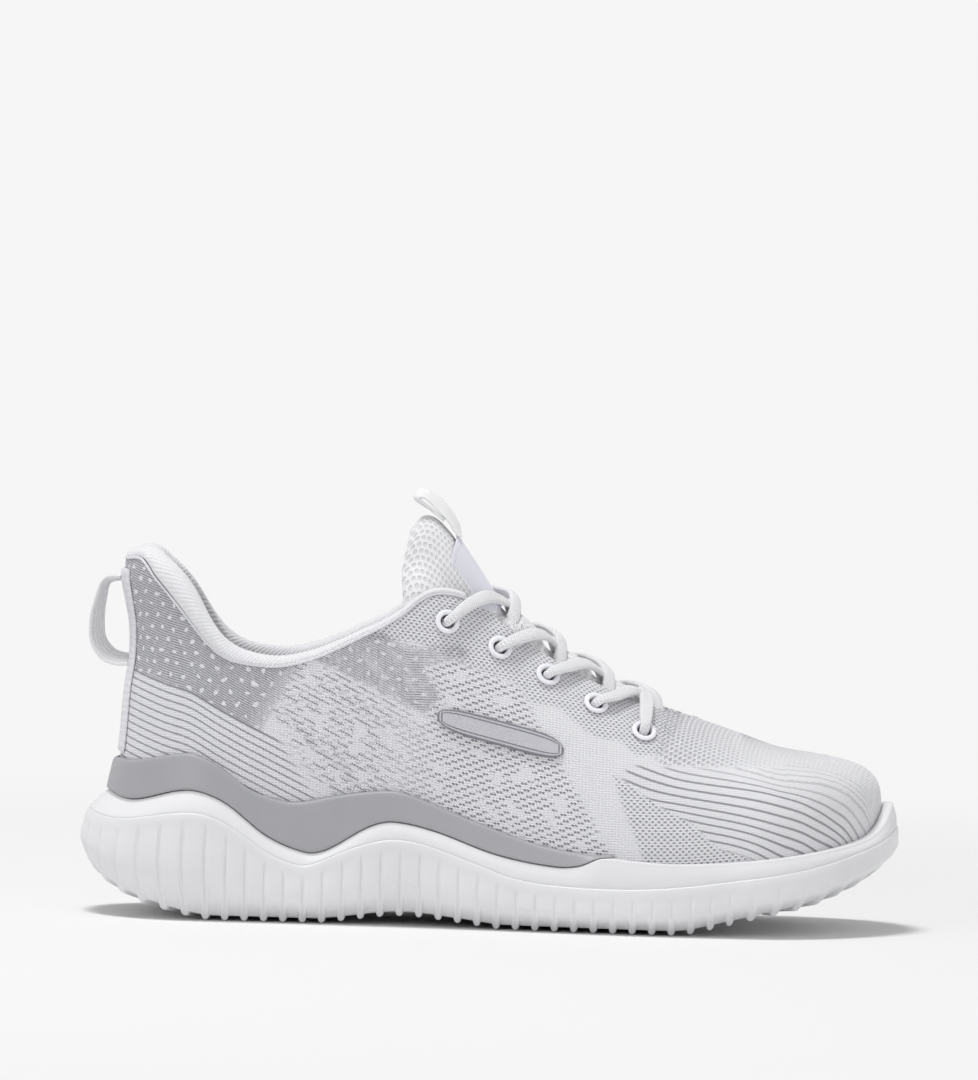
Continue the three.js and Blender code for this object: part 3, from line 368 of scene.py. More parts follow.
def ring_faces(rings, corners, closed=False):
    """Faces between closed rings of corners, with a cap at each end unless the rings close on themselves."""
    count = rings if closed else rings - 1
    i = np.arange(count)[:, None]
    c = np.arange(corners)
    a, b = i * corners, ((i + 1) % rings) * corners
    sides = np.stack([a + c, a + (c + 1) % corners, b + (c + 1) % corners, b + c], -1).reshape(-1, 4).tolist()
    if not closed:
        sides.append(list(range(corners))[::-1])
        sides.append(list(range((rings - 1) * corners, rings * corners)))
    return sides


def vectors(layer, key="co"):
    """The three numbers of each item of a mesh layer, as rows."""
    flat = np.empty(3 * len(layer))
    layer.foreach_get(key, flat)
    return flat.reshape(-1, 3)


def piece(name, points, faces, finish, body="shoe", replaced=(), fields=None):
    """A mesh object from points in millimetres, welded, smooth, dressed and riding on its body."""
    mesh = bpy.data.meshes.new(name)
    flat = np.asarray(points, float).reshape(-1, 3)
    mesh.from_pydata((flat * MM).tolist(), [], faces if isinstance(faces, list) else faces.tolist())
    for key, values in (fields or {}).items():
        layer = mesh.attributes.new(key, "FLOAT_VECTOR", "POINT")
        layer.data.foreach_set("vector", np.asarray(values, np.float32).reshape(-1))
    welded = bmesh.new()
    welded.from_mesh(mesh)
    bmesh.ops.remove_doubles(welded, verts=welded.verts, dist=0.002 * MM)
    bmesh.ops.recalc_face_normals(welded, faces=welded.faces)
    welded.to_mesh(mesh)
    welded.free()
    mesh.shade_smooth()
    obj = in_scene(name, mesh)
    mesh.materials.append(finish.material)
    if replaced:
        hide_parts(*replaced)
    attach(obj, body)
    return obj


def pillow(name, surface, finish, across, up, size, thickness, radius, **where):
    """A thin closed pad: surface(u, v, h) gives its points, size the lengths of its two directions."""
    u, v = np.meshgrid(clustered(across), clustered(up), indexing="ij")
    edge_u = np.minimum(u, 1 - u) * size[0]
    edge_v = np.minimum(v, 1 - v) * size[1]
    fullness = bulge(edge_u, radius) * bulge(edge_v, radius)
    half = thickness / 2
    sheets = [surface(u, v, half + half * fullness), surface(u, v, half - half * fullness)]
    grid = np.stack([u * size[0], v * size[1], np.minimum(edge_u, edge_v)], -1)
    return piece(name, np.concatenate(sheets), shell_faces(across, up), finish,
                 fields={"weave": np.concatenate([grid, grid])}, **where)


def inflate(pad, pressure, cap):
    """Swells a closed pad as cloth under pressure and subdivides it once.

    Each point moves no further than cap, which is a length in millimetres or one for each point.
    """
    scene, frames = bpy.context.scene, 20
    mesh = pad.data
    rest = vectors(mesh.vertices)
    cloth = pad.modifiers.new("swell", "CLOTH")
    cloth.settings.quality = 4
    cloth.settings.use_pressure = True
    cloth.settings.uniform_pressure_force = pressure
    cloth.settings.effector_weights.gravity = 0
    for number in range(frames):
        scene.frame_set(number + 1)
    shift = vectors(pad.evaluated_get(bpy.context.evaluated_depsgraph_get()).data.vertices) - rest
    pad.modifiers.remove(cloth)
    scene.frame_set(1)
    length = np.linalg.norm(shift, axis=1, keepdims=True)
    shift *= np.minimum(1, np.reshape(cap, (-1, 1)) * MM / np.maximum(length, 1e-9))
    mesh.vertices.foreach_set("co", (rest + shift).ravel())
    mesh.update()
    smooth = pad.modifiers.new("smooth", "SUBSURF")
    smooth.levels = smooth.render_levels = 1


def sweep(name, path, side, finish, half_width, half_thick, corners=20, power=0.6, **where):
    """A flat strap with rounded edges along a path; side points across it at each point."""
    tangent = np.gradient(path, axis=0)
    tangent /= np.linalg.norm(tangent, axis=1)[:, None]
    across = side - np.sum(side * tangent, 1)[:, None] * tangent
    across /= np.linalg.norm(across, axis=1)[:, None]
    up = np.cross(tangent, across)
    angle = (np.arange(corners) + 0.5) / corners * 2 * math.pi
    wide = np.sign(np.cos(angle)) * np.abs(np.cos(angle)) ** power
    tall = np.sign(np.sin(angle)) * np.abs(np.sin(angle)) ** 0.9
    half_width = np.broadcast_to(half_width, len(path))[:, None, None]
    half_thick = np.broadcast_to(half_thick, len(path))[:, None, None]
    rings = (path[:, None] + across[:, None] * wide[None, :, None] * half_width
             + up[:, None] * tall[None, :, None] * half_thick)
    along = np.broadcast_to(arc_length(path)[:, None], rings.shape[:2])
    weave = np.stack([along, wide[None] * half_width[..., 0], np.broadcast_to(tall[None], along.shape)], -1)
    return piece(name, rings, ring_faces(len(path), corners), finish, fields={"weave": weave}, **where)


def lathe(name, profile, origin, axis, finish, segments=40, **where):
    """A ring or pin turned round an axis, from (radius, height) points."""
    turn = Vector((0, 0, 1)).rotation_difference(Vector(axis)).to_matrix()
    angle = np.linspace(0, 2 * math.pi, segments, endpoint=False)
    r, h = np.array(profile, float).T
    rings = np.stack([np.cos(angle)[:, None] * r, np.sin(angle)[:, None] * r,
                      np.broadcast_to(h, (segments, len(h)))], -1)
    points = rings.reshape(-1, 3) @ np.array(turn).T + np.asarray(origin, float)
    weave = np.stack([angle[:, None] * r, np.broadcast_to(h, (segments, len(h))),
                      np.broadcast_to(r, (segments, len(h)))], -1)
    cells = sheet_quads(segments, len(profile), around=True).reshape(-1, 4).tolist()
    return piece(name, points, cells, finish, fields={"weave": weave}, **where)


# ---- procedural finishes
def srgb(red, blue, green=None):
    """A linear colour from 0 to 255 display values; green is as red unless it is given."""
    return (*(((v / 255 + 0.055) / 1.055) ** 2.4 for v in (red, red if green is None else green, blue)), 1.0)


def plug(tree, socket, value):
    """Links a Field or a socket to a socket, or sets the socket to a value."""
    value = getattr(value, "socket", value)
    if isinstance(value, bpy.types.NodeSocket):
        tree.links.new(value, socket)
    else:
        socket.default_value = value


def add_node(tree, kind, *values, **settings):
    """A shader node with its settings, and values for its inputs in order."""
    node = tree.nodes.new("ShaderNode" + kind)
    for key, setting in settings.items():
        setattr(node, key, setting)
    for socket, value in zip(node.inputs, values):
        plug(tree, socket, value)
    return node


class Field:
    """A number that varies over a surface; arithmetic on it adds Math nodes."""

    def __init__(self, tree, socket):
        self.tree = tree
        self.socket = socket

    def math(self, operation, *others):
        return Field(self.tree, add_node(self.tree, "Math", self, *others, operation=operation).outputs[0])

    def wave(self):
        """A cosine of one turn per unit, from 0 to 1."""
        return (self * (2 * math.pi)).math("COSINE") * 0.5 + 0.5

    def step(self, low, high):
        """A smooth step, rising from low to high, or falling if low is the larger."""
        node = add_node(self.tree, "MapRange", self, low, high, 0.0, 1.0, interpolation_type="SMOOTHSTEP")
        return Field(self.tree, node.outputs[0])

    def near(self, width):
        """1 within half of width of a whole number, 0 beyond one and a half times it."""
        return ((self + 0.5).fract() - 0.5).abs().step(width * 1.5, width * 0.5)


for method, operation in {"__add__": "ADD", "__sub__": "SUBTRACT", "__mul__": "MULTIPLY", "__truediv__": "DIVIDE",
                          "fract": "FRACT", "floor": "FLOOR", "abs": "ABSOLUTE", "over": "MAXIMUM"}.items():
    setattr(Field, method, lambda self, *others, operation=operation: self.math(operation, *others))


def lattice(u, v, pitch_u, pitch_v):
    """Offsets in millimetres from the nearest point of a staggered lattice."""
    row = v / pitch_v
    shift = (row.floor() * 0.5).fract()
    return ((u / pitch_u + shift).fract() - 0.5) * pitch_u, (row.fract() - 0.5) * pitch_v


def spot(du, dv, radius_u, radius_v, soft=0.35):
    a, b = du / radius_u, dv / radius_v
    return (a * a + b * b).step(1 + soft, 1 - soft)


class Finish:
    """One procedural material, with the record's slot that it stands for."""

    def __init__(self, name, slot, roughness=0.8, **sockets):
        self.slot = slot
        self.material = bpy.data.materials.new(name)
        self.material.use_nodes = True
        self.tree = self.material.node_tree
        self.shader = self.tree.nodes["Principled BSDF"]
        self.set("Roughness", roughness)
        for socket, value in sockets.items():
            self.set(socket.replace("_", " ").title(), value)

    def set(self, socket, value):
        plug(self.tree, self.shader.inputs[socket], value)

    def split(self, socket):
        return [Field(self.tree, output) for output in add_node(self.tree, "SeparateXYZ", socket).outputs]

    def attribute(self, name):
        return self.split(add_node(self.tree, "Attribute", attribute_name=name).outputs["Vector"])

    def place(self):
        """The point on the piece at rest, in millimetres."""
        return [axis * 1000 for axis in self.split(add_node(self.tree, "TexCoord").outputs["Object"])]

    def noise(self, size, detail=2.0, at=None):
        """Noise from 0 to 1 whose features are about size millimetres across."""
        where = add_node(self.tree, "CombineXYZ", *(at or self.place())).outputs[0]
        return Field(self.tree, add_node(self.tree, "TexNoise", where, 0.0, 1 / size, detail).outputs["Fac"])

    def paint(self, colour, *layers):
        """The base colour with (mask, colour) layers over it."""
        for mask, over in layers:
            node = add_node(self.tree, "Mix", mask, data_type="RGBA")
            plug(self.tree, node.inputs[6], colour)
            plug(self.tree, node.inputs[7], over)
            colour = node.outputs[2]
        self.set("Base Color", colour)

    def relief(self, height, depth, strength=0.9):
        """Bump from a height of 0 to 1 that stands for depth millimetres."""
        node = add_node(self.tree, "Bump")
        for socket, value in (("Distance", depth * MM), ("Strength", strength), ("Height", height)):
            plug(self.tree, node.inputs[socket], value)
        self.set("Normal", node.outputs["Normal"])


STITCH, COURSE = 1.15, 0.85  # the knit's spacing along and across its rows
# the second grey is the chain lines' grey yarn and also the painted shade inside the knit's holes
DARK_YARN, GREY_YARN_AND_HOLE_SHADE = srgb(120, 127), srgb(128, 135)


def knit_stitches(u, v):
    """Rows of small V stitches, as a height from 0 to 1."""
    leg = ((u / STITCH).fract() - 0.5).abs() * 2
    return (v / COURSE + leg * 0.5).wave() * (leg.step(1.05, 0.55) * 0.6 + 0.4)


def make_knit():
    finish = Finish("knit_fabric", "knit", 0.86, sheen_weight=0.2, sheen_roughness=0.5)
    u, v, heel_row = finish.attribute("weave")
    heel_grey, quarter_grey, chain_zone = finish.attribute("zones_a")
    dash_zone, mesh_zone, flow_zone = finish.attribute("zones_b")
    fore_zone, vamp_zone, flow_row = finish.attribute("zones_c")
    x, y, _ = finish.place()
    patchy = finish.noise(9, 3)
    drift = finish.noise(5, 1)
    grain = finish.noise(0.9, 1)
    stitches = knit_stitches(u, v)

    def turned(degrees):
        """Coordinates along and across rows that run down towards the toe."""
        turn = math.radians(degrees)
        return u * math.cos(turn) - v * math.sin(turn), u * math.sin(turn) + v * math.cos(turn)

    run, rank = turned(21)
    lean_run, lean_rank = turned(48)
    mottle = finish.noise(1.1, 2).step(0.42, 0.6)
    worn = finish.noise(5, 2, at=[lean_run * 0.3, lean_rank, 7.0]).step(0.34, 0.5)
    grey = heel_grey.over(quarter_grey * (mottle * 0.25 + 0.75) * (worn * 0.3 + 0.6))

    beads = spot(*lattice(u + drift * 5, v + patchy * 5, 5.4, 3.9), 0.95, 0.75, 0.45) * grey
    chain_lines = heel_row.near(0.11) * (u / 0.9).wave().step(-0.5, 0.45)
    chain_bold = heel_row.abs().step(0.2, 0.1) * (u / 0.9).wave().step(-0.6, 0.3)
    flow_lines = flow_row.near(0.12) * (u / 0.85).wave().step(-0.5, 0.5) * flow_row.step(14.5, 9.5).over(0.42)
    pair_u, pair_v = lattice(run, rank, 3.15, 1.7)
    pairs = spot(pair_u - 0.52, pair_v - 0.2, 0.5, 0.35, 0.5).over(spot(pair_u + 0.52, pair_v + 0.2, 0.5, 0.35, 0.5))
    long_u, long_v = lattice(run + drift * 7, rank, 8.2, 2.1)
    runs = long_v.abs().step(0.36, 0.14) * long_u.abs().step(2.9, 2.3) * (run / 0.95).wave().step(-0.2, 0.6)
    behind = x.step(-12, -44)
    gaps = finish.noise(4.5, 1, at=[run * 0.6, rank, 0.0]).step(0.36, 0.44)
    dashes = (pairs * (behind * -1 + 1)).over(runs * behind).over(pairs * behind * gaps * 0.4) * dash_zone * gaps
    mesh_dots = spot(*lattice(u, v, 1.85, 1.06), 0.47, 0.31) * mesh_zone
    fore_dots = spot(*lattice(u, v, 2.1, 1.02), 0.5, 0.31) * fore_zone
    dimples = spot(*lattice(x * 0.82 + y * 0.57, y * 0.82 - x * 0.57, 2.1, 1.15), 0.66, 0.38, 0.6) * vamp_zone
    streaks = (finish.noise(6, 2, at=[lean_run * 0.25, lean_rank, 3.0]).step(0.5, 0.64) * x.step(-25, -60)
               * dash_zone * mottle)

    holes = mesh_dots.over(fore_dots)
    lines = (chain_lines * chain_zone * 0.95).over(chain_bold * chain_zone).over(flow_lines * flow_zone)
    stripes = (heel_row * 3.1).wave().step(0.3, 0.95)
    finish.paint(
        srgb(235, 238),
        (patchy * 0.35, srgb(224, 228)),
        (stitches * (x.step(45, 85) * -0.3 + 0.7), srgb(188, 194)),
        (streaks * 0.55, srgb(172, 178)),
        (grey * 0.95, srgb(193, 198)),
        (grey * stripes * 0.95, DARK_YARN),
        (grain.step(0.5, 0.75) * grey * 0.4, srgb(208, 212)),
        (beads * 0.95, srgb(229, 232)),
        (dashes * 0.9, DARK_YARN),
        (lines * 0.92, GREY_YARN_AND_HOLE_SHADE),
        # painted shade: the holes are coloured dark grey for the shade inside the perforations, over the bump that
        # sinks them
        (holes * 0.8, GREY_YARN_AND_HOLE_SHADE),
        (dimples * 0.42, srgb(180, 186)),
    )
    finish.set("Roughness", holes * 0.12 + 0.8)
    height = (stitches * 0.4 + beads * 0.8 + grain * 0.1 + 0.6 - holes * 0.7 - lines * 0.7 - dashes * 0.5
              - dimples * 0.6 - grey * stripes * 0.25)
    finish.relief(height, 0.42)
    return finish


def make_cloth(name, slot, colour, shade, pitch, depth=0.3, hole=0.5):
    """A spacer mesh: rows of small squarish dimples over a fine weave."""
    finish = Finish(name, slot, 0.9, sheen_weight=0.3, sheen_roughness=0.5)
    u, v, _ = finish.attribute("weave")
    dimple = spot(*lattice(u, v, pitch, pitch * 0.62), pitch * hole * 0.55, pitch * hole * 0.36, 0.55)
    fine = (u / 0.42).wave() * (v / 0.36).wave()
    patchy = finish.noise(8, 3)
    finish.paint(colour, (patchy * 0.3, shade), (dimple * 0.75, shade), (fine * 0.08, shade))
    finish.relief(fine * 0.15 + 0.8 - dimple * 0.8 + patchy * 0.15, depth)
    return finish


def make_webbing(name, slot, colour, shade, pitch, ribs):
    """A tight diagonal weave with lengthwise ribs."""
    finish = Finish(name, slot, 0.88, sheen_weight=0.2, sheen_roughness=0.5)
    u, v, _ = finish.attribute("weave")
    weave = ((u + v * 0.8) / pitch).wave() * 0.65 + ((u - v * 0.8) / pitch).wave() * 0.35
    patchy = finish.noise(6, 3)
    rib = (v / ribs).wave()
    finish.paint(colour, (patchy * 0.3, shade), (weave.step(0.7, 0.0) * 0.35, shade),
                 (rib.step(0.5, 0.0) * 0.45, shade))
    finish.relief(weave * 0.7 + patchy * 0.1 + rib * 0.6, 0.25)
    return finish


def make_moulded(name, slot, colour, shade, roughness, depth=0.06, size=0.5, **sockets):
    """Moulded rubber, foam or film: fine grain, soft clouds of tone and faint scuffs."""
    finish = Finish(name, slot, roughness, **sockets)
    clouds = finish.noise(26, 3)
    grain = finish.noise(size, 3)
    scuff = finish.noise(3.5, 4, at=[f * k for f, k in zip(finish.place(), (0.35, 1.0, 1.6))]).step(0.6, 0.78)
    finish.paint(colour, (clouds.step(0.35, 0.75) * 0.5, shade), (scuff * 0.105, shade))
    finish.set("Roughness", clouds * 0.1 + (roughness - 0.05) + scuff * 0.08)
    finish.relief(grain * 0.8 + scuff * 0.2, depth, 0.8)
    return finish


def make_collar():
    """Fine diagonal jersey on the roll, open mesh inside the shoe."""
    finish = Finish("collar_cloth", "lining_cloth", 0.92, sheen_weight=0.35, sheen_roughness=0.5)
    u, v, inside = finish.attribute("weave")
    jersey = ((u + v * 0.9) / 1.35).wave() * 0.6 + ((u - v * 0.9) / 0.8).wave() * 0.4
    dimple = spot(*lattice(u, v, 1.5, 0.9), 0.42, 0.27, 0.5) * inside.step(0.1, 0.9)
    patchy = finish.noise(7, 3)
    finish.paint(srgb(232, 235), (patchy * 0.3, srgb(221, 225)),
                 (jersey.step(0.6, 0.1) * 0.4, srgb(204, 209)), (dimple * 0.6, srgb(178, 183)))
    finish.relief(jersey * 0.5 + 0.5 - dimple * 0.6, 0.4, 0.95)
    return finish


def make_badge():
    """A smooth soft film with a line of stitches just inside its edge."""
    finish = Finish("badge_film", "badge_film", 0.5, coat_weight=0.1)
    u, v, edge = finish.attribute("weave")
    thread = (edge - 1.5).abs().step(0.32, 0.2) * ((u + v) / 2.3).wave().step(0.3, 0.5)
    grain = finish.noise(0.7, 2)
    finish.paint(srgb(221, 230), (finish.noise(9, 2) * 0.3, srgb(213, 223)), (thread, srgb(238, 242)))
    finish.relief(thread * 0.9 + grain * 0.1, 0.35)
    return finish


def make_emblem():
    """A silver knit film with a welded, darker border and one thin line inside it."""
    finish = Finish("emblem_film", "emblem_film", 0.42, metallic=0.15, coat_weight=0.15)
    u, v, edge = finish.attribute("weave")
    border = edge.step(0.95, 0.6)
    line = (edge - 1.6).abs().step(0.3, 0.14)
    fill = ((u + v) / 0.8).wave() * ((u - v) / 0.8).wave()
    finish.paint(srgb(190, 196), (fill * 0.35, srgb(163, 170)),
                 (finish.noise(6, 2) * 0.3, srgb(206, 211)), (border.over(line), srgb(122, 130)))
    finish.relief(fill * 0.25 + 0.5 - line * 0.5, 0.3)
    return finish


def make_lace_finish():
    """A soft flat braid: two families of diagonal yarns that meet along its middle."""
    finish = Finish("lace_braid", "lace", 0.85, sheen_weight=0.4, sheen_roughness=0.45)
    along, across, _ = finish.attribute("weave")
    chevron = ((along + across.abs() * 1.25) / 1.05).wave()
    yarns = (across / 0.72).wave()
    patchy = finish.noise(5, 3)
    weave = chevron * 0.7 + yarns * 0.3
    finish.paint(srgb(245, 247), (patchy * 0.25, srgb(237, 240)),
                 (weave.step(0.5, 0.1) * 0.45, srgb(214, 219)))
    finish.relief(weave, 0.4)
    return finish


knit_finish = make_knit()
mesh_finish = make_cloth("tongue_mesh_cloth", "knit", srgb(238, 240), srgb(210, 213), 1.95, 0.5, 0.52)
lining_finish = make_collar()
sock_finish = make_cloth("sock_cloth", "lining_cloth", srgb(222, 228), srgb(196, 204), 1.6)
webbing_finish = make_webbing("webbing_weave", "webbing", srgb(243, 244), srgb(217, 219), 0.9, 1.9)
tape_finish = make_webbing("heel_tape_weave", "webbing", srgb(229, 233), srgb(206, 212), 0.8, 2.4)
lace_finish = make_lace_finish()
badge_finish = make_badge()
emblem_finish = make_emblem()
sole_finish = make_moulded("sole_rubber", "outsole_rubber", srgb(223, 225), srgb(216, 219), 0.42,
                           subsurface_weight=0.15, subsurface_scale=0.002, subsurface_radius=(1, 1, 1),
                           coat_weight=0.08)
rim_finish = make_moulded("midsole_foam", "midsole_foam", srgb(222, 224), srgb(216, 218), 0.6, size=0.8)
wave_finish = make_moulded("wave_paint", "wave_trim", srgb(160, 164), srgb(153, 157), 0.48, size=0.7)
ring_finish = make_moulded("eyelet_plastic", "eyelet_plastic", srgb(234, 240), srgb(225, 232), 0.4)
tip_finish = make_moulded("lace_tip_plastic", "lace_tip", srgb(240, 242), srgb(230, 233), 0.25, coat_weight=0.3)
foam_finish = make_moulded("padding_foam", "padding_foam", srgb(240, 216, 234), srgb(228, 198, 220), 0.9, size=1.1,
                           depth=0.3)
board_finish = make_moulded("board_fibre", "board", srgb(232, 216, 228), srgb(216, 194, 210), 0.92, depth=0.2,
                            size=0.9)
stiffener_finish = make_moulded("stiffener_sheet", "stiffener", srgb(216, 192, 210), srgb(200, 170, 192), 0.7,
                                depth=0.12)


# ---- sole unit
def sole_wall(section):
    """Radii and heights of the wall's bottom, its ledge over the ribs and its rim against the upper."""
    x = section.x
    widest = section.reach + flare(x)
    bottom_r = widest - inset_bottom(x)
    bottom_z = sole_bottom(section.x_at(bottom_r))
    ledge = max(ledge_z(x), bottom_z + 6)
    return SimpleNamespace(widest=widest, bottom_r=bottom_r, bottom_z=bottom_z, ledge=ledge,
                           ledge_r=widest - inset_ledge(x), rim=max(rim_z(x), ledge + 2.5), rim_r=widest - inset_rim(x))


NUB = 0.54  # where in each pitch the tread's nub and the wall's groove are
NUB_HALF = 0.2


def tread_stations():
    parts = np.array([0, 0.14, 0.26, 0.33, 0.38, 0.43, 0.48, 0.51, 0.54, 0.57, 0.6, 0.65, 0.7, 0.75, 0.84, 0.92])
    zones = [np.concatenate([start + (i + parts) / count for i in range(count)])
             for start, count in ((0, LUGS["toe"]), (1, LUGS["side"]), (2, LUGS["heel"]))]
    lateral = np.concatenate(zones[:2])
    return np.concatenate([lateral, zones[2], [3.0], (5 - lateral[lateral > 0])[::-1]])


def tread_phase(t):
    mirror = 5 - t if t > 3 else t
    count = LUGS["toe"] if mirror < 1 else LUGS["side"] if mirror < 2 else LUGS["heel"]
    return (mirror % 1) * count % 1


def outsole_outline(section, phase):
    wall = sole_wall(section)
    off = abs(phase - NUB)
    nub = math.sqrt(max(0, 1 - (off / NUB_HALF) ** 2)) if off < NUB_HALF else 0.0
    groove = math.exp(-(off / 0.06) ** 2)
    rib = RIB_HEIGHT * rib_share(section.x) * (0.62 * groove + 0.38 * (1 - 2 * min(off, 1 - off)) ** 2)
    ground = lambda r: sole_bottom(section.x_at(r))

    shares = np.array([0, 0.2, LUG_START - 0.015, LUG_START + 0.015, 0.45, 0.55, 0.64, 0.66, 0.7, 0.72, 0.8, 0.9, 0.96])
    lugged = smoothstep(shares, LUG_START - 0.01, LUG_START + 0.01) * (1 - np.isin(shares, (0.66, 0.7)))
    r = wall.bottom_r * shares
    under = np.column_stack([r, ground(r) + LUG_DEPTH * (1 - nub * lugged)])

    edge_z = wall.bottom_z + LUG_DEPTH * (1 - nub)
    waist = lerp(wall.bottom_z, wall.ledge, 0.45)
    low = np.array([0, 0.04, 0.1, 0.18, 0.28, 0.4, 0.55, 0.72, 0.88])
    z = edge_z + (waist - edge_z) * low
    r = wall.widest - (wall.widest - wall.bottom_r) * (1 - low) ** 1.7
    lower = np.column_stack([r - rib * smoothstep(low, 0, 0.25), z])
    top = wall.ledge - 0.8
    high = np.linspace(0, 1, 12)
    z = waist + (top - waist) * high
    lip = 0.5 * smoothstep(z, top - 4.5, top)  # the wall swells a little just under the ledge
    ribbed = rib * smoothstep(z, top - 2, top - 6)
    r = wall.widest - (wall.widest - wall.ledge_r) * high ** 2 - ribbed + lip - 0.5 * high
    upper = np.column_stack([r, z])
    turn = np.radians([30, 60, 90])
    end = upper[-1, 0]
    rounded = np.column_stack([end - 0.8 * (1 - np.cos(turn)), top + 0.8 * np.sin(turn)])
    inner_r = wall.bottom_r - SOLE_WALL
    inside = np.array([[wall.ledge_r - SOLE_WALL, wall.ledge],
                       [inner_r, ground(inner_r) + LUG_DEPTH + SOLE_FLOOR],
                       [0, ground(0) + LUG_DEPTH + SOLE_FLOOR]])
    return np.concatenate([under, lower, upper, rounded, inside])


def wrap(name, stations, outline, finish, **where):
    """Closed form whose outlines run from the centre line out and back, all the way round."""
    rings = []
    for t in stations:
        section = section_around(t)
        r, z = outline(section, t).T
        rings.append(section.world(r, z))
    rings = np.array(rings)
    quads = sheet_quads(len(rings), rings.shape[1], around=True).reshape(-1, 4)
    return piece(name, rings, quads, finish, **where)


wrap("tread_and_wall", tread_stations(), lambda section, t: outsole_outline(section, tread_phase(t)), sole_finish,
     replaced=("outsole",))


def midsole_outline(section, _):
    wall = sole_wall(section)
    ground = lambda r: sole_bottom(section.x_at(r)) + LUG_DEPTH + SOLE_FLOOR + 0.3
    inner_r = wall.bottom_r - SOLE_WALL - 0.3
    ledge, ledge_r, rim, rim_r = wall.ledge, wall.ledge_r, wall.rim, wall.rim_r
    cup_r = min(float(section.radius_at(max(rim, section.foot))) + 0.6, rim_r - 1.2)
    foot_r = max(section.reach + 0.6, cup_r)
    low = [[0, ground(0)], [inner_r - 0.4, ground(inner_r)], [ledge_r - SOLE_WALL - 0.5, ledge],
           [ledge_r - SOLE_WALL - 0.3, ledge + 0.2], [ledge_r - 1.6, ledge - 0.2], [ledge_r - 0.9, ledge - 0.35],
           [ledge_r - 0.62, ledge - 0.1]]
    t = np.linspace(0.08, 1, 9)
    face = np.column_stack([lerp(ledge_r - 0.5, rim_r, t) + 0.35 * np.sin(math.pi * t),
                            lerp(ledge + 0.1, rim - 0.7, t)])
    lip = [[rim_r - 0.08, rim - 0.35], [rim_r - 0.3, rim - 0.1], [rim_r - 0.65, rim]]
    inside = [[min(foot_r, rim_r - 0.8), rim], [section.reach + 0.6, section.foot - 0.3]]
    floor = [[section.reach * s, float(section.floor(section.reach * s)) - 0.3] for s in (0.72, 0.4, 0)]
    return np.concatenate([low, face, lip, inside, floor])


wrap("rim_and_bumper", stations_round(60, 150, 90), midsole_outline, rim_finish, replaced=("midsole",))


def make_wave():
    """The grey band that rises and falls along both quarters and round the heel."""
    rings = []
    stop_x, count, pitch = 42, 420, 0.95
    ends = bulge(np.minimum(np.arange(count), np.arange(count)[::-1]) * pitch, 3)
    for section, end in zip(belt(stop_x, count), ends):
        low = sole_wall(section).rim + 0.3
        high = max(wave_z(section.x), low + 0.8)
        t = np.array([0, 0.03, 0.08, 0.2, 0.35, 0.5, 0.65, 0.8, 0.9, 0.96, 1])
        z = lerp(low, high, t)
        inner = section.radius_at(np.maximum(z, section.foot)) + 0.6
        rounded = bulge(high - z, 0.9) * bulge(z - low + 0.25, 0.5)
        outer = inner + lerp(3.4, 1.5, t) * rounded * max(end, 0.15)
        rings.append(section.world(np.concatenate([outer, inner[:0:-1]]), np.concatenate([z, z[:0:-1]])))
    rings = np.array(rings)
    return piece("wave_band", rings, ring_faces(len(rings), rings.shape[1]), wave_finish, replaced=("side_wave",))


make_wave()


def footbed_sheet(name, lift, thickness, finish, replaced):
    """A sheet on the footbed with its rim turned up behind the ball of the foot."""
    def outline(section, _):
        reach = section.reach - KNIT - STIFFENER - LINING - FOOTBED_GAP
        turned = 3 * smoothstep(-section.x, -20, 40)
        shares = np.array([0, 0.2, 0.4, 0.6, 0.75, 0.85, 0.92, 0.96, 0.985, 1])
        r = reach * shares
        edge = turned * smoothstep(shares, 0.72, 1)
        full = bulge(reach * (1 - shares), thickness / 2)
        middle = section.floor(r) + lift + thickness / 2 + edge
        half = thickness / 2 * full
        under = np.column_stack([r, middle - half])
        over = np.column_stack([r, middle + half])[::-1]
        return np.concatenate([under, over[1:]])
    return wrap(name, stations_round(40, 90, 50), outline, finish, replaced=replaced, body="sockliner")


sock_foam = footbed_sheet("sock_foam", BOARD + 0.5, SOCK_FOAM, foam_finish, ("sockliner_foam",))
footbed_sheet("sock_cloth", BOARD + SOCK_FOAM + 1.1, SOCK_CLOTH, sock_finish, ("sockliner_cloth",))


# ---- upper
def skin_z(x, y, top=ridge_z, most=1):
    """The last's height over (x, y), or that of a form like it with another ridge."""
    side = np.where(y < centre_y(x), LATERAL, MEDIAL)
    rho = np.minimum(most, np.abs(y - centre_y(x)) / half_width(x, side))
    return footbed_z(x) + (top(x) - footbed_z(x)) * (1 - rho ** round_r(x)) ** (1 / round_z(x))


def skin(x, y, h=0.0):
    """A point of the last over (x, y), pushed out by h, and its normal."""
    step = 0.4
    normal = np.array([-(skin_z(x + step, y) - skin_z(x - step, y)) / (2 * step),
                       -(skin_z(x, y + step) - skin_z(x, y - step)) / (2 * step), 1.0])
    normal /= np.linalg.norm(normal)
    return np.array([x, y, skin_z(x, y)]) + normal * h, normal


def eyelet_y(x, z, side):
    zeta = (z - footbed_z(x)) / (ridge_z(x) - footbed_z(x))
    return centre_y(x) + side * half_width(x, side) * (1 - zeta ** round_z(x)) ** (1 / round_r(x))


def eyelet_frames():
    return [(side, number, *skin(x, eyelet_y(x, z, side)))
            for side in SIDES for number, (x, z) in enumerate(EYELETS, 1)]


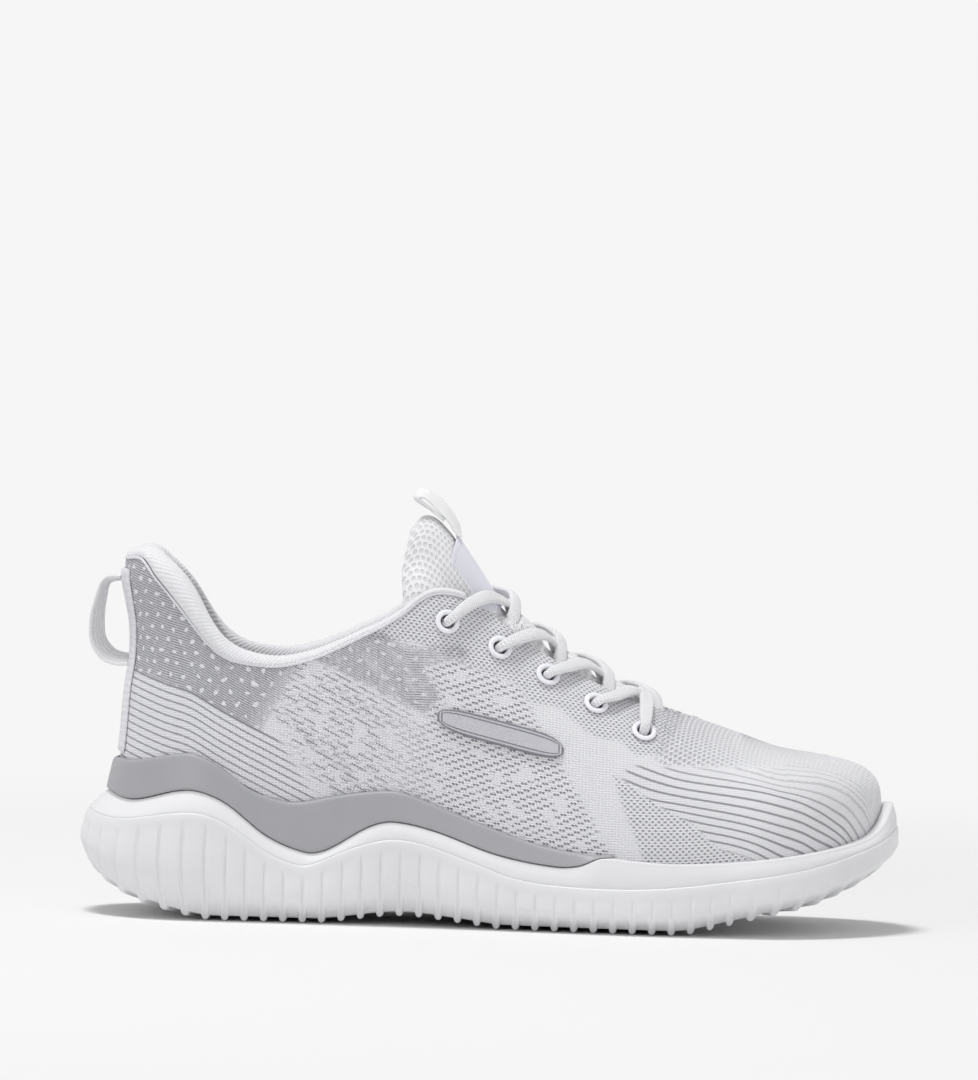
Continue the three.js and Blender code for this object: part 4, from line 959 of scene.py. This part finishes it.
# The knit's pattern is laid out as it shows from the side: place along the foot, and height as seen.
FLOW_LINES = [  # (row number, course): the toe's chain lines run forward and turn down into the rim
    (13, track("43.7 68, 62 61, 80 57.4, 89 55.3, 97 53.3, 105 52.7, 111 52.2, 117 50.6, 121.6 48.3, 125.3 44.8, "
               "128.2 41.2, 129.8 36.9, 132 30")),
    (10, track("43.7 59, 52.8 55.6, 62 52.8, 71 51.4, 90 49.3, 99 47.4, 105 45.7, 111 43, 116 39.9, 121 36, 125 29.5, "
               "131 16")),
    (7, track("44 48.9, 53 45.8, 64 44.1, 84 41, 99 37.6, 105 35.9, 110 33.6, 118 29.5, 123 23, 131 8")),
    (5, track("40 43.2, 53 41.5, 70 38.3, 87 35.1, 99 31.2, 107 28, 115 21, 131 0")),
    (2, track("50 32, 63 30.8, 80 28.7, 89.5 25.8, 97 21, 131 -8")),
]
HEEL_LINE = track("-134 92.5, -128 88, -122.6 84.8, -112 80.4, -102.5 77.4, -93 72.1, -84 67.4, -78.4 64.7, -60 55.8, "
                  "-30 42")
HEEL_PITCH = 2.6  # between the chain lines behind, and between those above the first of the toe's


def polygon_mask(x, z, corners, soft):
    """1 inside a polygon and 0 outside it, fading over soft millimetres either side of its edge."""
    corners = table(corners)
    inside = np.zeros(x.shape, bool)
    nearest = np.full(x.shape, 1e9)
    for (ax, az), (bx, bz) in zip(corners, np.roll(corners, -1, axis=0)):
        crosses = (az > z) != (bz > z)
        rise = bz - az if bz != az else 1e-9
        inside ^= crosses & (x < (bx - ax) * (z - az) / rise + ax)
        t = np.clip(((x - ax) * (bx - ax) + (z - az) * (bz - az)) / ((bx - ax) ** 2 + (bz - az) ** 2), 0, 1)
        nearest = np.minimum(nearest, np.hypot(x - ax - t * (bx - ax), z - az - t * (bz - az)))
    return smoothstep(np.where(inside, nearest, -nearest), -soft, soft)


def knit_fields(points, u, v):
    """The zones and line fields of the knit's pattern at its outer points."""
    x, y, z = np.moveaxis(points, -1, 0)
    seen = z + 0.061 * (45 - np.abs(y))  # the height as the photo's raised camera sees it
    heel_row = (seen - HEEL_LINE(x)) / HEEL_PITCH

    heel_grey = polygon_mask(x, seen, "-150 135, -66 135, -66.5 88, -78.4 64.7, -84 67.4, -93 72.1, -102.5 77.4, "
                                      "-112 80.7, -122.6 84.5, -150 88", 1.0)
    heel_grey = heel_grey * (1 - 0.75 * smoothstep(x - (seen - 76) * 0.5, -82, -68))
    quarter_grey = polygon_mask(x, seen, "-62 90.4, -50 98, -38 99.5, -27 92, -18 78.5, -23.4 72.4, -39.7 80.6", 1.0)
    quarter_grey += 0.8 * polygon_mask(x, seen, "-30 94, -12.4 96.2, -8.5 92.6, -26.6 87.8", 1.5)
    quarter_grey = np.minimum(quarter_grey, 1)
    chain = smoothstep(heel_row, 0.35, 0.1) * smoothstep(x + (seen - 50) * 0.65, -62, -66)
    toe_band = polygon_mask(x, seen, "7 90, 11 78, 21 60, 29 47, 40 28, 32 15, -150 15, -150 120, -10 110", 1.5)
    dashes = toe_band * (1 - heel_grey) * smoothstep(x + (seen - 50) * 0.65, -64, -58) * (1 - quarter_grey)
    away = np.full(x.shape, 1e9)
    for _, _, place, _ in eyelet_frames():
        beside = np.hypot(x - place[0], (z - place[2]) * 1.15) + 3 * (z > place[2])
        away = np.minimum(away, np.where(z > place[2], beside * 0.6, beside))
    mesh = polygon_mask(x, seen, "-46 97, -20 118, 8 118, 30 100, 50 88, 66 76, 57 61, 49 60, 43 65, 35 66, 29 70, "
                                 "22 76, 13 77, 7 84, -4 87, -16 92, -28 97", 1.0) * (1 - smoothstep(away, 26, 30))
    dashes = dashes * (1 - mesh)
    flow = np.zeros(x.shape)
    levels = np.stack([course(x) for _, course in FLOW_LINES])
    numbers = [number for number, _ in FLOW_LINES]
    for i in range(len(numbers) - 1):
        t = (seen - levels[i + 1]) / (levels[i] - levels[i + 1])
        row = lerp(numbers[i + 1], numbers[i], t)
        flow = np.where((t >= 0) & (t < 1), row, flow)
    above = seen >= levels[0]
    reached = np.array([run[hit][0] if hit.any() else 0 for run, hit in zip(v, above)])[:, None]
    flow = np.where(above, numbers[0] + (v - reached) / HEEL_PITCH, flow)
    starts = track("40 8.8, 44 8.5, 48 9.6, 56 10.5, 66 11.5, 80 12.5, 96 15, 112 19, 140 24")
    stops = track("44 8, 50 7.6, 55 6.8, 60 5.9, 68 4.8, 76 2.6, 80 1.6, 86 0.6")
    flow_zone = (smoothstep(x, 43, 46) * smoothstep(flow - starts(x), 0.35, 0.1)
                 * smoothstep(flow - stops(x), -0.35, -0.1) * smoothstep(x, 133.5, 130) * smoothstep(flow, 18, 14))
    fore = polygon_mask(x, seen, "41 53.5, 50 49, 58 45.5, 66 40, 74 35.5, 80 31, 88 26, 88 15, 55 15, 50 30, 44 44",
                        0.8) * (1 - flow_zone)
    vamp = smoothstep(x, 52, 60) * smoothstep(flow - np.minimum(starts(x), 15), 0.2, 0.8)
    vamp = vamp * (smoothstep(x, 100, 62) * 1.6 + 0.55)
    return {name: np.stack(layers, -1) for name, layers in (
        ("weave", (u, v, heel_row)), ("zones_a", (heel_grey, quarter_grey, chain)),
        ("zones_b", (dashes, mesh, flow_zone)), ("zones_c", (fore, vamp, flow)))}


def even_out(shell, start, stop, low, high, rounds):
    """Smooths a mesh beside a line in plan, moving points along their normals only.

    start and stop are the line's ends; the smoothing begins low millimetres from it and is full at high.
    """
    mesh = shell.data
    places = vectors(mesh.vertices)
    line = np.subtract(stop, start) * MM
    share = np.clip((places[:, :2] - np.multiply(start, MM)) @ line / (line @ line), 0, 1)
    away = np.linalg.norm(places[:, :2] - np.multiply(start, MM) - share[:, None] * line, axis=1) / MM
    weight = 0.5 * smoothstep(away, low, high)
    ends = np.empty(2 * len(mesh.edges), int)
    mesh.edges.foreach_get("vertices", ends)
    ends = ends.reshape(-1, 2)
    ends = ends[(weight[ends] > 0).any(axis=1)]
    ends = np.concatenate([ends, ends[:, ::-1]])
    count = np.maximum(np.bincount(ends[:, 0], minlength=len(places)), 1)
    for number in range(rounds):
        if number % 15 == 0:
            mesh.vertices.foreach_set("co", places.ravel())
            mesh.update()
            facing = vectors(mesh.vertices, "normal")
        middle = np.stack([np.bincount(ends[:, 0], places[ends[:, 1], k], len(places)) for k in range(3)], -1)
        pull = ((middle / count[:, None] - places) * facing).sum(-1)
        places = places + (weight * pull)[:, None] * facing
    mesh.vertices.foreach_set("co", places.ravel())
    mesh.update()


def make_upper():
    stations = stations_round(52, 158, 88)
    rows, middle_row = 92, 30
    near_edge = np.array([0.95, 0.7, 0.45, 0.25, 0.1, 0.03, 0])
    inset = KNIT / 2 * (1 - bulge(near_edge, KNIT / 2))
    outer, inner, v = [], [], []
    for section in map(section_around, stations):
        top = section.edge()
        length = top * section.length
        share = np.concatenate([np.linspace(0, length - 1.3, rows), length - near_edge]) / section.length
        depth = np.concatenate([np.zeros(rows), inset * (top < 1)])
        outer.append(section.skin(share, -depth))
        inner.append(section.skin(share, -KNIT + depth))
        v.append(share * section.length)
    outer, inner, v = np.array(outer), np.array(inner), np.array(v)
    # arc length round the shoe at mid height, equal to x along the straight sides
    middle = outer[:, middle_row]
    straight = np.minimum(np.abs(stations - 1.5), np.abs(stations - 3.5)) <= 0.5
    u = np.where(straight, middle[:, 0], 0)
    for start, stop, pole in ((0, 1, TOE_POLE_X), (2, 3, HEEL_POLE_X), (4, 5, TOE_POLE_X)):
        zone = np.where((stations >= start) & (stations <= stop))[0]
        run = arc_length(middle[zone])
        if start == 0:
            half_toe = run[-1]
            u[zone] = pole + half_toe - run
        elif start == 4:
            u[zone] = pole + run * half_toe / (2 * run[-1] - run[-2])
        else:
            u[zone] = pole - np.minimum(run, run[-1] - run)
    u = np.broadcast_to(u[:, None], v.shape)
    fields = knit_fields(outer, u, v)
    pairs = outer + np.roll(outer, -1, axis=0)
    cells = (pairs[:, :-1] + pairs[:, 1:]) / 4
    keep = np.ones(cells.shape[:2], bool)
    for _, _, place, normal in eyelet_frames():
        away = cells - place
        axial = away @ normal
        keep &= (np.linalg.norm(away - axial[..., None] * normal, axis=-1) > HOLE) | (np.abs(axial) > 6)
    # the inside of the knit is plain: it keeps the weave but none of the zones
    both = {key: np.concatenate([values, values * (key == "weave")]) for key, values in fields.items()}
    shell = piece("knit_shell", np.concatenate([outer, inner]), shell_faces(*v.shape, around=True, keep=keep),
                  knit_finish, replaced=("knit_upper",), fields=both)
    even_out(shell, start=(80, 1), stop=(118, 5), low=22, high=10, rounds=90)


make_upper()


def collar_course(section):
    """The lining's course over the roll and down to the board, then back up behind the foam."""
    share = section.edge()
    (r, z), = section.at(np.array([share]))[0]
    x = section.x_at(r)
    rise, depth = roll_rise(x), roll_depth(x)
    wall = KNIT + STIFFENER + LINING + 1.5
    bottom = section.foot + BOARD + 1
    fade = z - 26 - rise
    inside = lambda height, off: [float(section.radius_at(height)) - off, height]
    front = [[r - 0.1, z + 0.4], [r + 0.35, z + rise * 0.5], [r - depth * 0.17, z + rise * 0.92],
             [r - depth * 0.5, z + rise], [r - depth * 0.84, z + rise * 0.75], [r - depth, z],
             inside(z - 8, depth * 0.94)]
    front += [inside(lerp(fade, bottom, s), wall) for s in (0, 0.4, 0.75, 1)]
    back = [inside(lerp(bottom, z - 7, s), KNIT + 0.9) for s in (0, 0.35, 0.7, 1)]
    back += [[r - KNIT - 0.45, z - 1.2], [r - KNIT * 0.8, z + 0.2]]
    return front, back


def make_collar_pad():
    rings, weave = [], []
    for section in belt(-9, 220):
        front, back = collar_course(section)
        loop = np.concatenate([spaced(front, 44), back])
        rings.append(section.world(*loop.T))
        run = arc_length(loop)
        weave.append(np.stack([run * 0, run, smoothstep(run, 14, 20)], -1))
    rings, weave = np.array(rings), np.array(weave)
    crest = 10  # the loop's point on top of the roll
    weave[..., 0] = arc_length(rings[:, crest])[:, None]
    pad = piece("collar_pad", rings, ring_faces(len(rings), rings.shape[1]), lining_finish,
                replaced=("collar_foam", "collar_lining"), fields={"weave": weave})
    inside = vectors(pad.data.attributes["weave"].data, "vector")[:, 2]
    inflate(pad, pressure=4, cap=0.9 * (1 - inside))  # the roll swells, the lining below it doesn't


make_collar_pad()


def make_collar_stitches():
    """The rolled hem where the collar meets the knit, as a fine cord round the opening."""
    path = np.array([section.skin(section.edge(), 0.05)[0] for section in belt(-7, 420)])
    up = np.tile([0, 0, 1.0], (len(path), 1))
    sweep("collar_hem", path + (0, 0, 0.1), up, tape_finish, half_width=0.5, half_thick=0.4, corners=10, power=1)


make_collar_stitches()


def draped(column, lift):
    """A pillow's surface on the last: column(t) gives a section, and the pad's lowest and highest z on it."""
    def surface(u, v, h):
        sheet = np.empty((*u.shape, 3))
        for i, t in enumerate(u[:, 0]):
            section, low, high = column(t)
            sheet[i] = section.skin(section.share_at_height(lerp(low, high, v[i])), h[i] + lift)
        return sheet
    return surface


def patch_column(side):
    """The capsule on the quarter, which runs down a little towards the toe."""
    def column(t):
        middle = lerp(71, 60.5, t)
        half = 4.2 * math.sqrt(max(0.02, 1 - abs(2 * t - 1) ** 5))
        return side_section(lerp(-19, 24, t), side), middle - half, middle + half
    return column


def tape_column(t):
    """The strip up the back of the heel, a narrow fan of sections wide."""
    low, high = 54.5, 117
    return section_around(lerp(2.4, 2.6, t)), low, high


pillow("heel_strip", draped(tape_column, lift=-0.1), tape_finish,
       across=30, up=160, size=(21, 64), thickness=1.3, radius=1.2, replaced=("heel_tape",))
for side, label in SIDES.items():
    pillow("quarter_patch_" + label, draped(patch_column(side), lift=0.45), emblem_finish,
           across=90, up=26, size=(44, 8.4), thickness=0.65, radius=0.6, replaced=("emblem_" + label,))


# ---- the lace's course
LACE = {
    "half": 2.5, "thick": 1.1,  # half the braid's width and thickness
    "in_hole": 1.6,  # half its width where an eyelet squeezes it
    "bow": 12,  # how far each crossing bows towards the toe
    "clear": 1.5, "shadow": 6,  # how far below its middle it presses the tongue, and how far to each side
}


def half_lace(side):
    """From the middle of the lowest bar up to the top eyelet: (x, y, height over the last, squeeze)."""
    route = []
    add = lambda x, y, h, squeeze=0.0: route.append((x, y, h, squeeze))
    bar = eyelet_y(*EYELETS[4], side)
    middle = centre_y(EYELETS[4][0])
    add(EYELETS[4][0], middle + (bar - middle) * 0.3, 1.2)
    add(EYELETS[4][0], middle + (bar - middle) * 0.62, 2.4)
    for n in range(4, -1, -1):
        x, z = EYELETS[n]
        y = eyelet_y(x, z, side)
        out = math.copysign(1, y - centre_y(x))
        add(x + (0 if n == 4 else 6), y - out * 3.8, 2.7, 0.3)
        add(x + (0 if n == 4 else 1.5), y - out * 0.8, 2.4, 0.9)
        add(x, y, 0.6, 1)
        add(x, y, -4.2, 1)
        if n == 0:
            break
        next_x, next_z = EYELETS[n - 1]
        next_y = eyelet_y(next_x, next_z, -side)
        add(x - 0.2, y - out * 1.6, -6.5, 0.9)
        add(lerp(x, next_x, 0.16), y - out * 6.5, -6.3, 0.2)
        over = 1 if side == LATERAL else 0
        badge = 1.6 if n == 1 else 0
        for part, h in ((0.27, -4.6 + over * 0.2 + badge), (0.5, -2.6 + over * 3.3 + badge), (0.66, 0.3 + over * 1.6),
                        (0.8, 2.3)):
            add(lerp(x, next_x, part) + LACE["bow"] * math.sin(math.pi * part) ** 0.8, lerp(y, next_y, part), h)
        side = -side
    top_x, top_z = EYELETS[0]
    y = eyelet_y(top_x, top_z, side)
    out = math.copysign(1, y - centre_y(top_x))
    add(top_x + 1.5, y + out, -6.8, 0.8)
    add(top_x + 7, y + out * 2.2, -7.4, 0.2)
    return route, side


def tucked_end(side):
    """Along the inside of the quarter, folded back once."""
    out = []
    for x, rise in ((2, 0.5), (20, 2), (40, 4), (52, 5.5), (57, 8.5), (53, 12), (42, 13.5), (26, 13.5), (9, 13)):
        section = side_section(x, side)
        out.append(section.skin(section.edge() - (13 + rise) / section.length, -6.8)[0])
    return out


def lace_half_steps(start):
    route, side = half_lace(start)
    steps = []
    for x, y, h, squeeze in route:
        point, normal = skin(x, y, h)
        steps.append((point, normal, squeeze))
    lying = np.array([0, side, 0.35]) / math.hypot(1, 0.35)
    return steps + [(point, lying, 0.0) for point in tucked_end(side)]


def lace_course():
    """The whole lace: its points, its normals and how far each eyelet squeezes it."""
    steps = lace_half_steps(LATERAL)[::-1] + lace_half_steps(MEDIAL)
    path, at = centripetal([point for point, _, _ in steps], (len(steps) - 1) * 16 + 1)
    normals = np.array([normal for _, normal, _ in steps])
    normals = np.column_stack([np.interp(at, np.arange(len(steps)), axis) for axis in normals.T])
    return path, normals, np.interp(at, np.arange(len(steps)), [squeeze for _, _, squeeze in steps])


LACE_PATH, LACE_NORMALS, LACE_SQUEEZE = lace_course()


# ---- tongue
def tongue_sink(x, across):
    """How far the tongue lies below the last, more at its wings than along its middle."""
    return tongue_depth(x) + tongue_wing(x) * smoothstep(np.abs(across), 0.15, 0.6)


def tongue_point(x, across, depth):
    """A point of the tongue; across runs from -1 to 1 and depth is added to its place below the last."""
    y = centre_y(x) + across * tongue_half(x)
    z = skin_z(x, y, tongue_ridge, 0.97)
    total = tongue_sink(x, across) + depth
    normal = np.stack([np.full(np.shape(y), 0.55), across * tongue_half(x) / 22, np.ones(np.shape(y))], -1)
    normal /= np.linalg.norm(normal, axis=-1)[..., None]
    return np.stack([x, y, z], -1) - normal * total[..., None]


def pressed(points, most):
    """Points lowered, by no more than most, to stay under the lace wherever it passes over them."""
    out = points.copy()
    flat = out.reshape(-1, 3)
    for point, limit in zip(flat, most.ravel()):
        if limit <= 0:
            continue
        away = np.hypot(LACE_PATH[:, 0] - point[0], LACE_PATH[:, 1] - point[1])
        over = (away < LACE["shadow"]) & (LACE_PATH[:, 2] > point[2] - limit - 2)
        if over.any():
            groove = LACE_PATH[over, 2] - LACE["clear"] + 3 * (away[over] / 4.2) ** 4
            point[2] = min(point[2], max(groove.min(), point[2] - limit))
    return out


def make_tongue():
    x, across = np.meshgrid(lerp(TONGUE_TOP, TONGUE_END, clustered(120)), clustered(50) * 2 - 1, indexing="ij")
    thick = tongue_thick(x) * (1 - 0.45 * np.abs(across) ** 4)
    full = bulge((1 - np.abs(across)) * tongue_half(x), 4.5) * bulge(x - TONGUE_TOP, 4.5) * bulge(TONGUE_END - x, 3)
    puff = 0.35 * np.sin(math.pi * np.clip((x - TONGUE_TOP) / 30, 0, 1)) * (1 - np.abs(across) ** 2)
    reach = np.abs(across) * tongue_half(x) - throat_half(np.maximum(x, 0))
    throat = smoothstep(x, -2, 7) * smoothstep(reach, 3.5, 0)
    raised = throat * (tongue_sink(x, across) - 0.7 - 2.3 * smoothstep(x, 40, 66))
    puff += raised
    top = pressed(tongue_point(x, across, thick * (0.5 - 0.5 * full) - puff), raised)
    base = tongue_point(x, across, thick * (0.5 + 0.5 * full))
    run = arc_length(tongue_point(x[:, 25], 0 * x[:, 25], 0 * x[:, 25]))
    weave = [np.stack([np.broadcast_to(run[:, None], x.shape), across * tongue_half(x), full * 0 + k], -1)
             for k in (0, 1)]
    pad = piece("tongue_pad", np.concatenate([top, base]), shell_faces(*x.shape), mesh_finish, body="tongue",
                replaced=("tongue_mesh", "tongue_foam", "tongue_lining"), fields={"weave": np.concatenate(weave)})
    inflate(pad, pressure=4, cap=1.2)


make_tongue()


def make_tongue_badge():
    def surface(u, v, h):
        x = lerp(-13.0, 3.5, u)
        across = (v * 2 - 1) * lerp(0.5, 0.56, u) * (1 - 0.18 * np.abs(2 * v - 1) ** 6 * (2 * u - 1) ** 6)
        return tongue_point(x, across, -1.2 - h)
    pillow("tongue_patch", surface, badge_finish, across=50, up=50, size=(22, 20), thickness=0.7, radius=0.6,
           body="tongue", replaced=("tongue_badge",))


make_tongue_badge()


def twisted(path, places, degrees):
    """Directions across a ribbon that lies in an upright plane and turns its face to the lateral side."""
    tangent = np.gradient(path, axis=0)
    tangent /= np.linalg.norm(tangent, axis=1)[:, None]
    turn = np.radians(np.interp(np.arange(len(path)), places, degrees))[:, None]
    across = np.array([0, 1.0, 0])
    return across * np.cos(turn) + np.cross(tangent, across) * np.sin(turn)


def make_tongue_pull():
    """A strip sewn to the tongue that rises, loops over backwards and comes down again."""
    root = tongue_point(np.array(-12.6), np.array(0.0), np.array(-2.6))
    course = table("0.4 -1.4, -2.2 4, -6 8.6, -9.6 11.8, -12.2 13.1, -14.1 12.8, -14.8 11.6, -13.4 10.2, -9.8 7.8, "
                   "-5.2 4.2")
    path = spaced([root + (x, 0, z) for x, z in course], 90)
    side = twisted(path, (0, 8, 34, 52, 66, 89), (0, -14, -24, -16, -5, 0))
    sweep("tongue_ribbon", path, side, webbing_finish, half_width=4.6, half_thick=0.55, power=0.3,
          body="tongue_loop", replaced=("tongue_pull_loop",))


make_tongue_pull()


def make_heel_pull():
    section = heel_section(0, LATERAL)
    back = lambda z: section.skin(section.share_at_height(z))[0, 0]
    top, bottom = 113.2, 87
    course = [(back(top) - 1.2, top + 0.3), (back(top) - 6, top - 0.8), (-135.2, 105.8), (-136.2, 98.5), (-135.4, 91.5),
              (-132, 87.2), (back(bottom) - 5, 85.9), (back(bottom) - 1.2, 85.6)]
    path = spaced([(x, centre_y(-127), z) for x, z in course], 90)
    side = twisted(path, (0, 8, 45, 70, 89), (8, 14, 30, 34, 22))
    sweep("heel_ribbon", path, side, webbing_finish, half_width=4.8, half_thick=0.6, power=0.3,
          body="heel_loop", replaced=("heel_pull_loop",))


make_heel_pull()


# ---- eyelets and lace
def make_rings():
    bore, barrel, flange = RING["bore"], RING["barrel"], RING["flange"]
    profile = [(bore, -4.6), (barrel + 0.3, -4.7), (barrel + 0.4, -4.4), (barrel, -4), (barrel, 0.4),
               (flange - 0.15, 0.42), (flange, 0.6), (flange - 0.1, 0.9), (flange - 0.5, 1.14), (flange - 1.1, 1.2),
               (bore + 0.35, 1.12), (bore + 0.08, 0.95), (bore, 0.6), (bore, -4.6)]
    for side, number, place, normal in eyelet_frames():
        label = f"{SIDES[side]}_{number}"
        lathe("ring_" + label, profile, place, normal, ring_finish, replaced=("eyelet_" + label,))


make_rings()


def make_lace():
    path = LACE_PATH
    tangent = np.gradient(path, axis=0)
    sweep("lace", path, np.cross(LACE_NORMALS, tangent), lace_finish,
          half_width=lerp(LACE["half"], LACE["in_hole"], LACE_SQUEEZE),
          half_thick=lerp(LACE["thick"], LACE["thick"] * 1.1, LACE_SQUEEZE),
          corners=16, power=0.8, replaced=("shoelace",))
    for label, tip, before in (("a", path[0], path[16]), ("b", path[-1], path[-17])):
        axis = (tip - before) / np.linalg.norm(tip - before)
        profile = [(0, -8), (1.1, -8), (1.45, -7.7), (1.5, -7), (1.45, 0), (1.3, 7.2), (1.1, 7.8), (0.7, 8), (0, 8)]
        lathe(f"lace_end_{label}", profile, tip + axis * 8.3, axis, tip_finish, segments=28,
              replaced=(f"lace_tip_{label}",))


make_lace()


# ---- carried-over parts
def dress(node, finish):
    """Gives a CAD part that keeps its shape its procedural material."""
    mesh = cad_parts[node].data
    mesh.materials.clear()
    mesh.materials.append(finish.material)


dress("strobel_board", board_finish)
for node in ("heel_counter", "toe_puff", "eyestay_tape_lateral", "eyestay_tape_medial"):
    dress(node, stiffener_finish)


# ---- stage, light and camera
BACKDROP = 0.92  # brightness of the studio sweep


def make_floor():
    """A matt floor near the shoe that fades into a sweep as bright as the backdrop."""
    spokes, radii = 96, (0.0, 0.4, 0.8, 1.4, 2.2, 4.0, 9.0)
    angle = np.linspace(0, 2 * math.pi, spokes, endpoint=False)
    mesh = bpy.data.meshes.new("floor")
    mesh.from_pydata([(r * math.cos(a), r * math.sin(a), -0.2 * MM) for a in angle for r in radii], [],
                     sheet_quads(spokes, len(radii), around=True).reshape(-1, 4).tolist())
    material = bpy.data.materials.new("studio_floor")
    material.use_nodes = True
    tree = material.node_tree
    shader = tree.nodes["Principled BSDF"]
    for socket, value in (("Base Color", (0.78, 0.78, 0.78, 1)), ("Roughness", 0.9), ("Specular IOR Level", 0.0)):
        shader.inputs[socket].default_value = value
    place = add_node(tree, "TexCoord").outputs["Object"]
    away = add_node(tree, "VectorMath", place, operation="LENGTH").outputs["Value"]
    fade = add_node(tree, "MapRange", away, 0.24, 0.75, interpolation_type="SMOOTHSTEP").outputs[0]
    glow = add_node(tree, "Emission", (BACKDROP, BACKDROP, BACKDROP, 1)).outputs[0]
    mix = add_node(tree, "MixShader", fade, shader.outputs[0], glow)
    plug(tree, tree.nodes["Material Output"].inputs["Surface"], mix.outputs[0])
    mesh.materials.append(material)
    floor = in_scene("floor", mesh)


def add_light(name, place, target, size, power):
    light = bpy.data.lights.new(name, "AREA")
    light.shape, light.size, light.energy = "DISK", size, power
    lamp = in_scene(name, light)
    lamp.location = place
    lamp.rotation_euler = (Vector(target) - Vector(place)).to_track_quat("-Z", "Y").to_euler()


def make_camera():
    """The photo's view, from far away and a little above, turned to the photo's slight roll."""
    distance, elevation, roll = 3.2, math.radians(3.5), math.radians(1.6)
    aim = Vector((-0.0032, -0.045, 0.1316))
    camera = bpy.data.cameras.new("camera")
    camera.lens, camera.sensor_width = 312.3, 36
    view = in_scene("camera", camera)
    view.location = (aim.x, -distance * math.cos(elevation), 0.065 + distance * math.sin(elevation))
    facing = (aim - view.location).to_track_quat("-Z", "Y").to_matrix()
    view.rotation_euler = (facing @ Matrix.Rotation(roll, 3, "Z")).to_euler()
    bpy.context.scene.camera = view


def make_world():
    """Bright near the horizon, where the camera sees it, and dimmer overhead."""
    world = bpy.data.worlds.new("studio")
    bpy.context.scene.world = world
    world.use_nodes = True
    tree = world.node_tree
    up = add_node(tree, "SeparateXYZ", add_node(tree, "TexCoord").outputs["Generated"]).outputs["Z"]
    fade = add_node(tree, "MapRange", up, 0.15, 0.45, BACKDROP, 0.5, interpolation_type="SMOOTHSTEP").outputs[0]
    plug(tree, tree.nodes["Background"].inputs["Strength"], fade)
    plug(tree, tree.nodes["Background"].inputs["Color"], (1, 1, 1, 1))


make_floor()
make_world()
make_camera()
add_light("key", (-0.4, -0.1, 2.4), target=(0, 0, 0), size=0.7, power=36)
add_light("front", (-0.9, -1.5, 0.6), target=(0, 0, 0.05), size=0.6, power=4)
add_light("toe", (1.5, -0.7, 0.45), target=(0.1, 0, 0.05), size=0.5, power=1.3)
bpy.context.scene.view_settings.view_transform = "Standard"
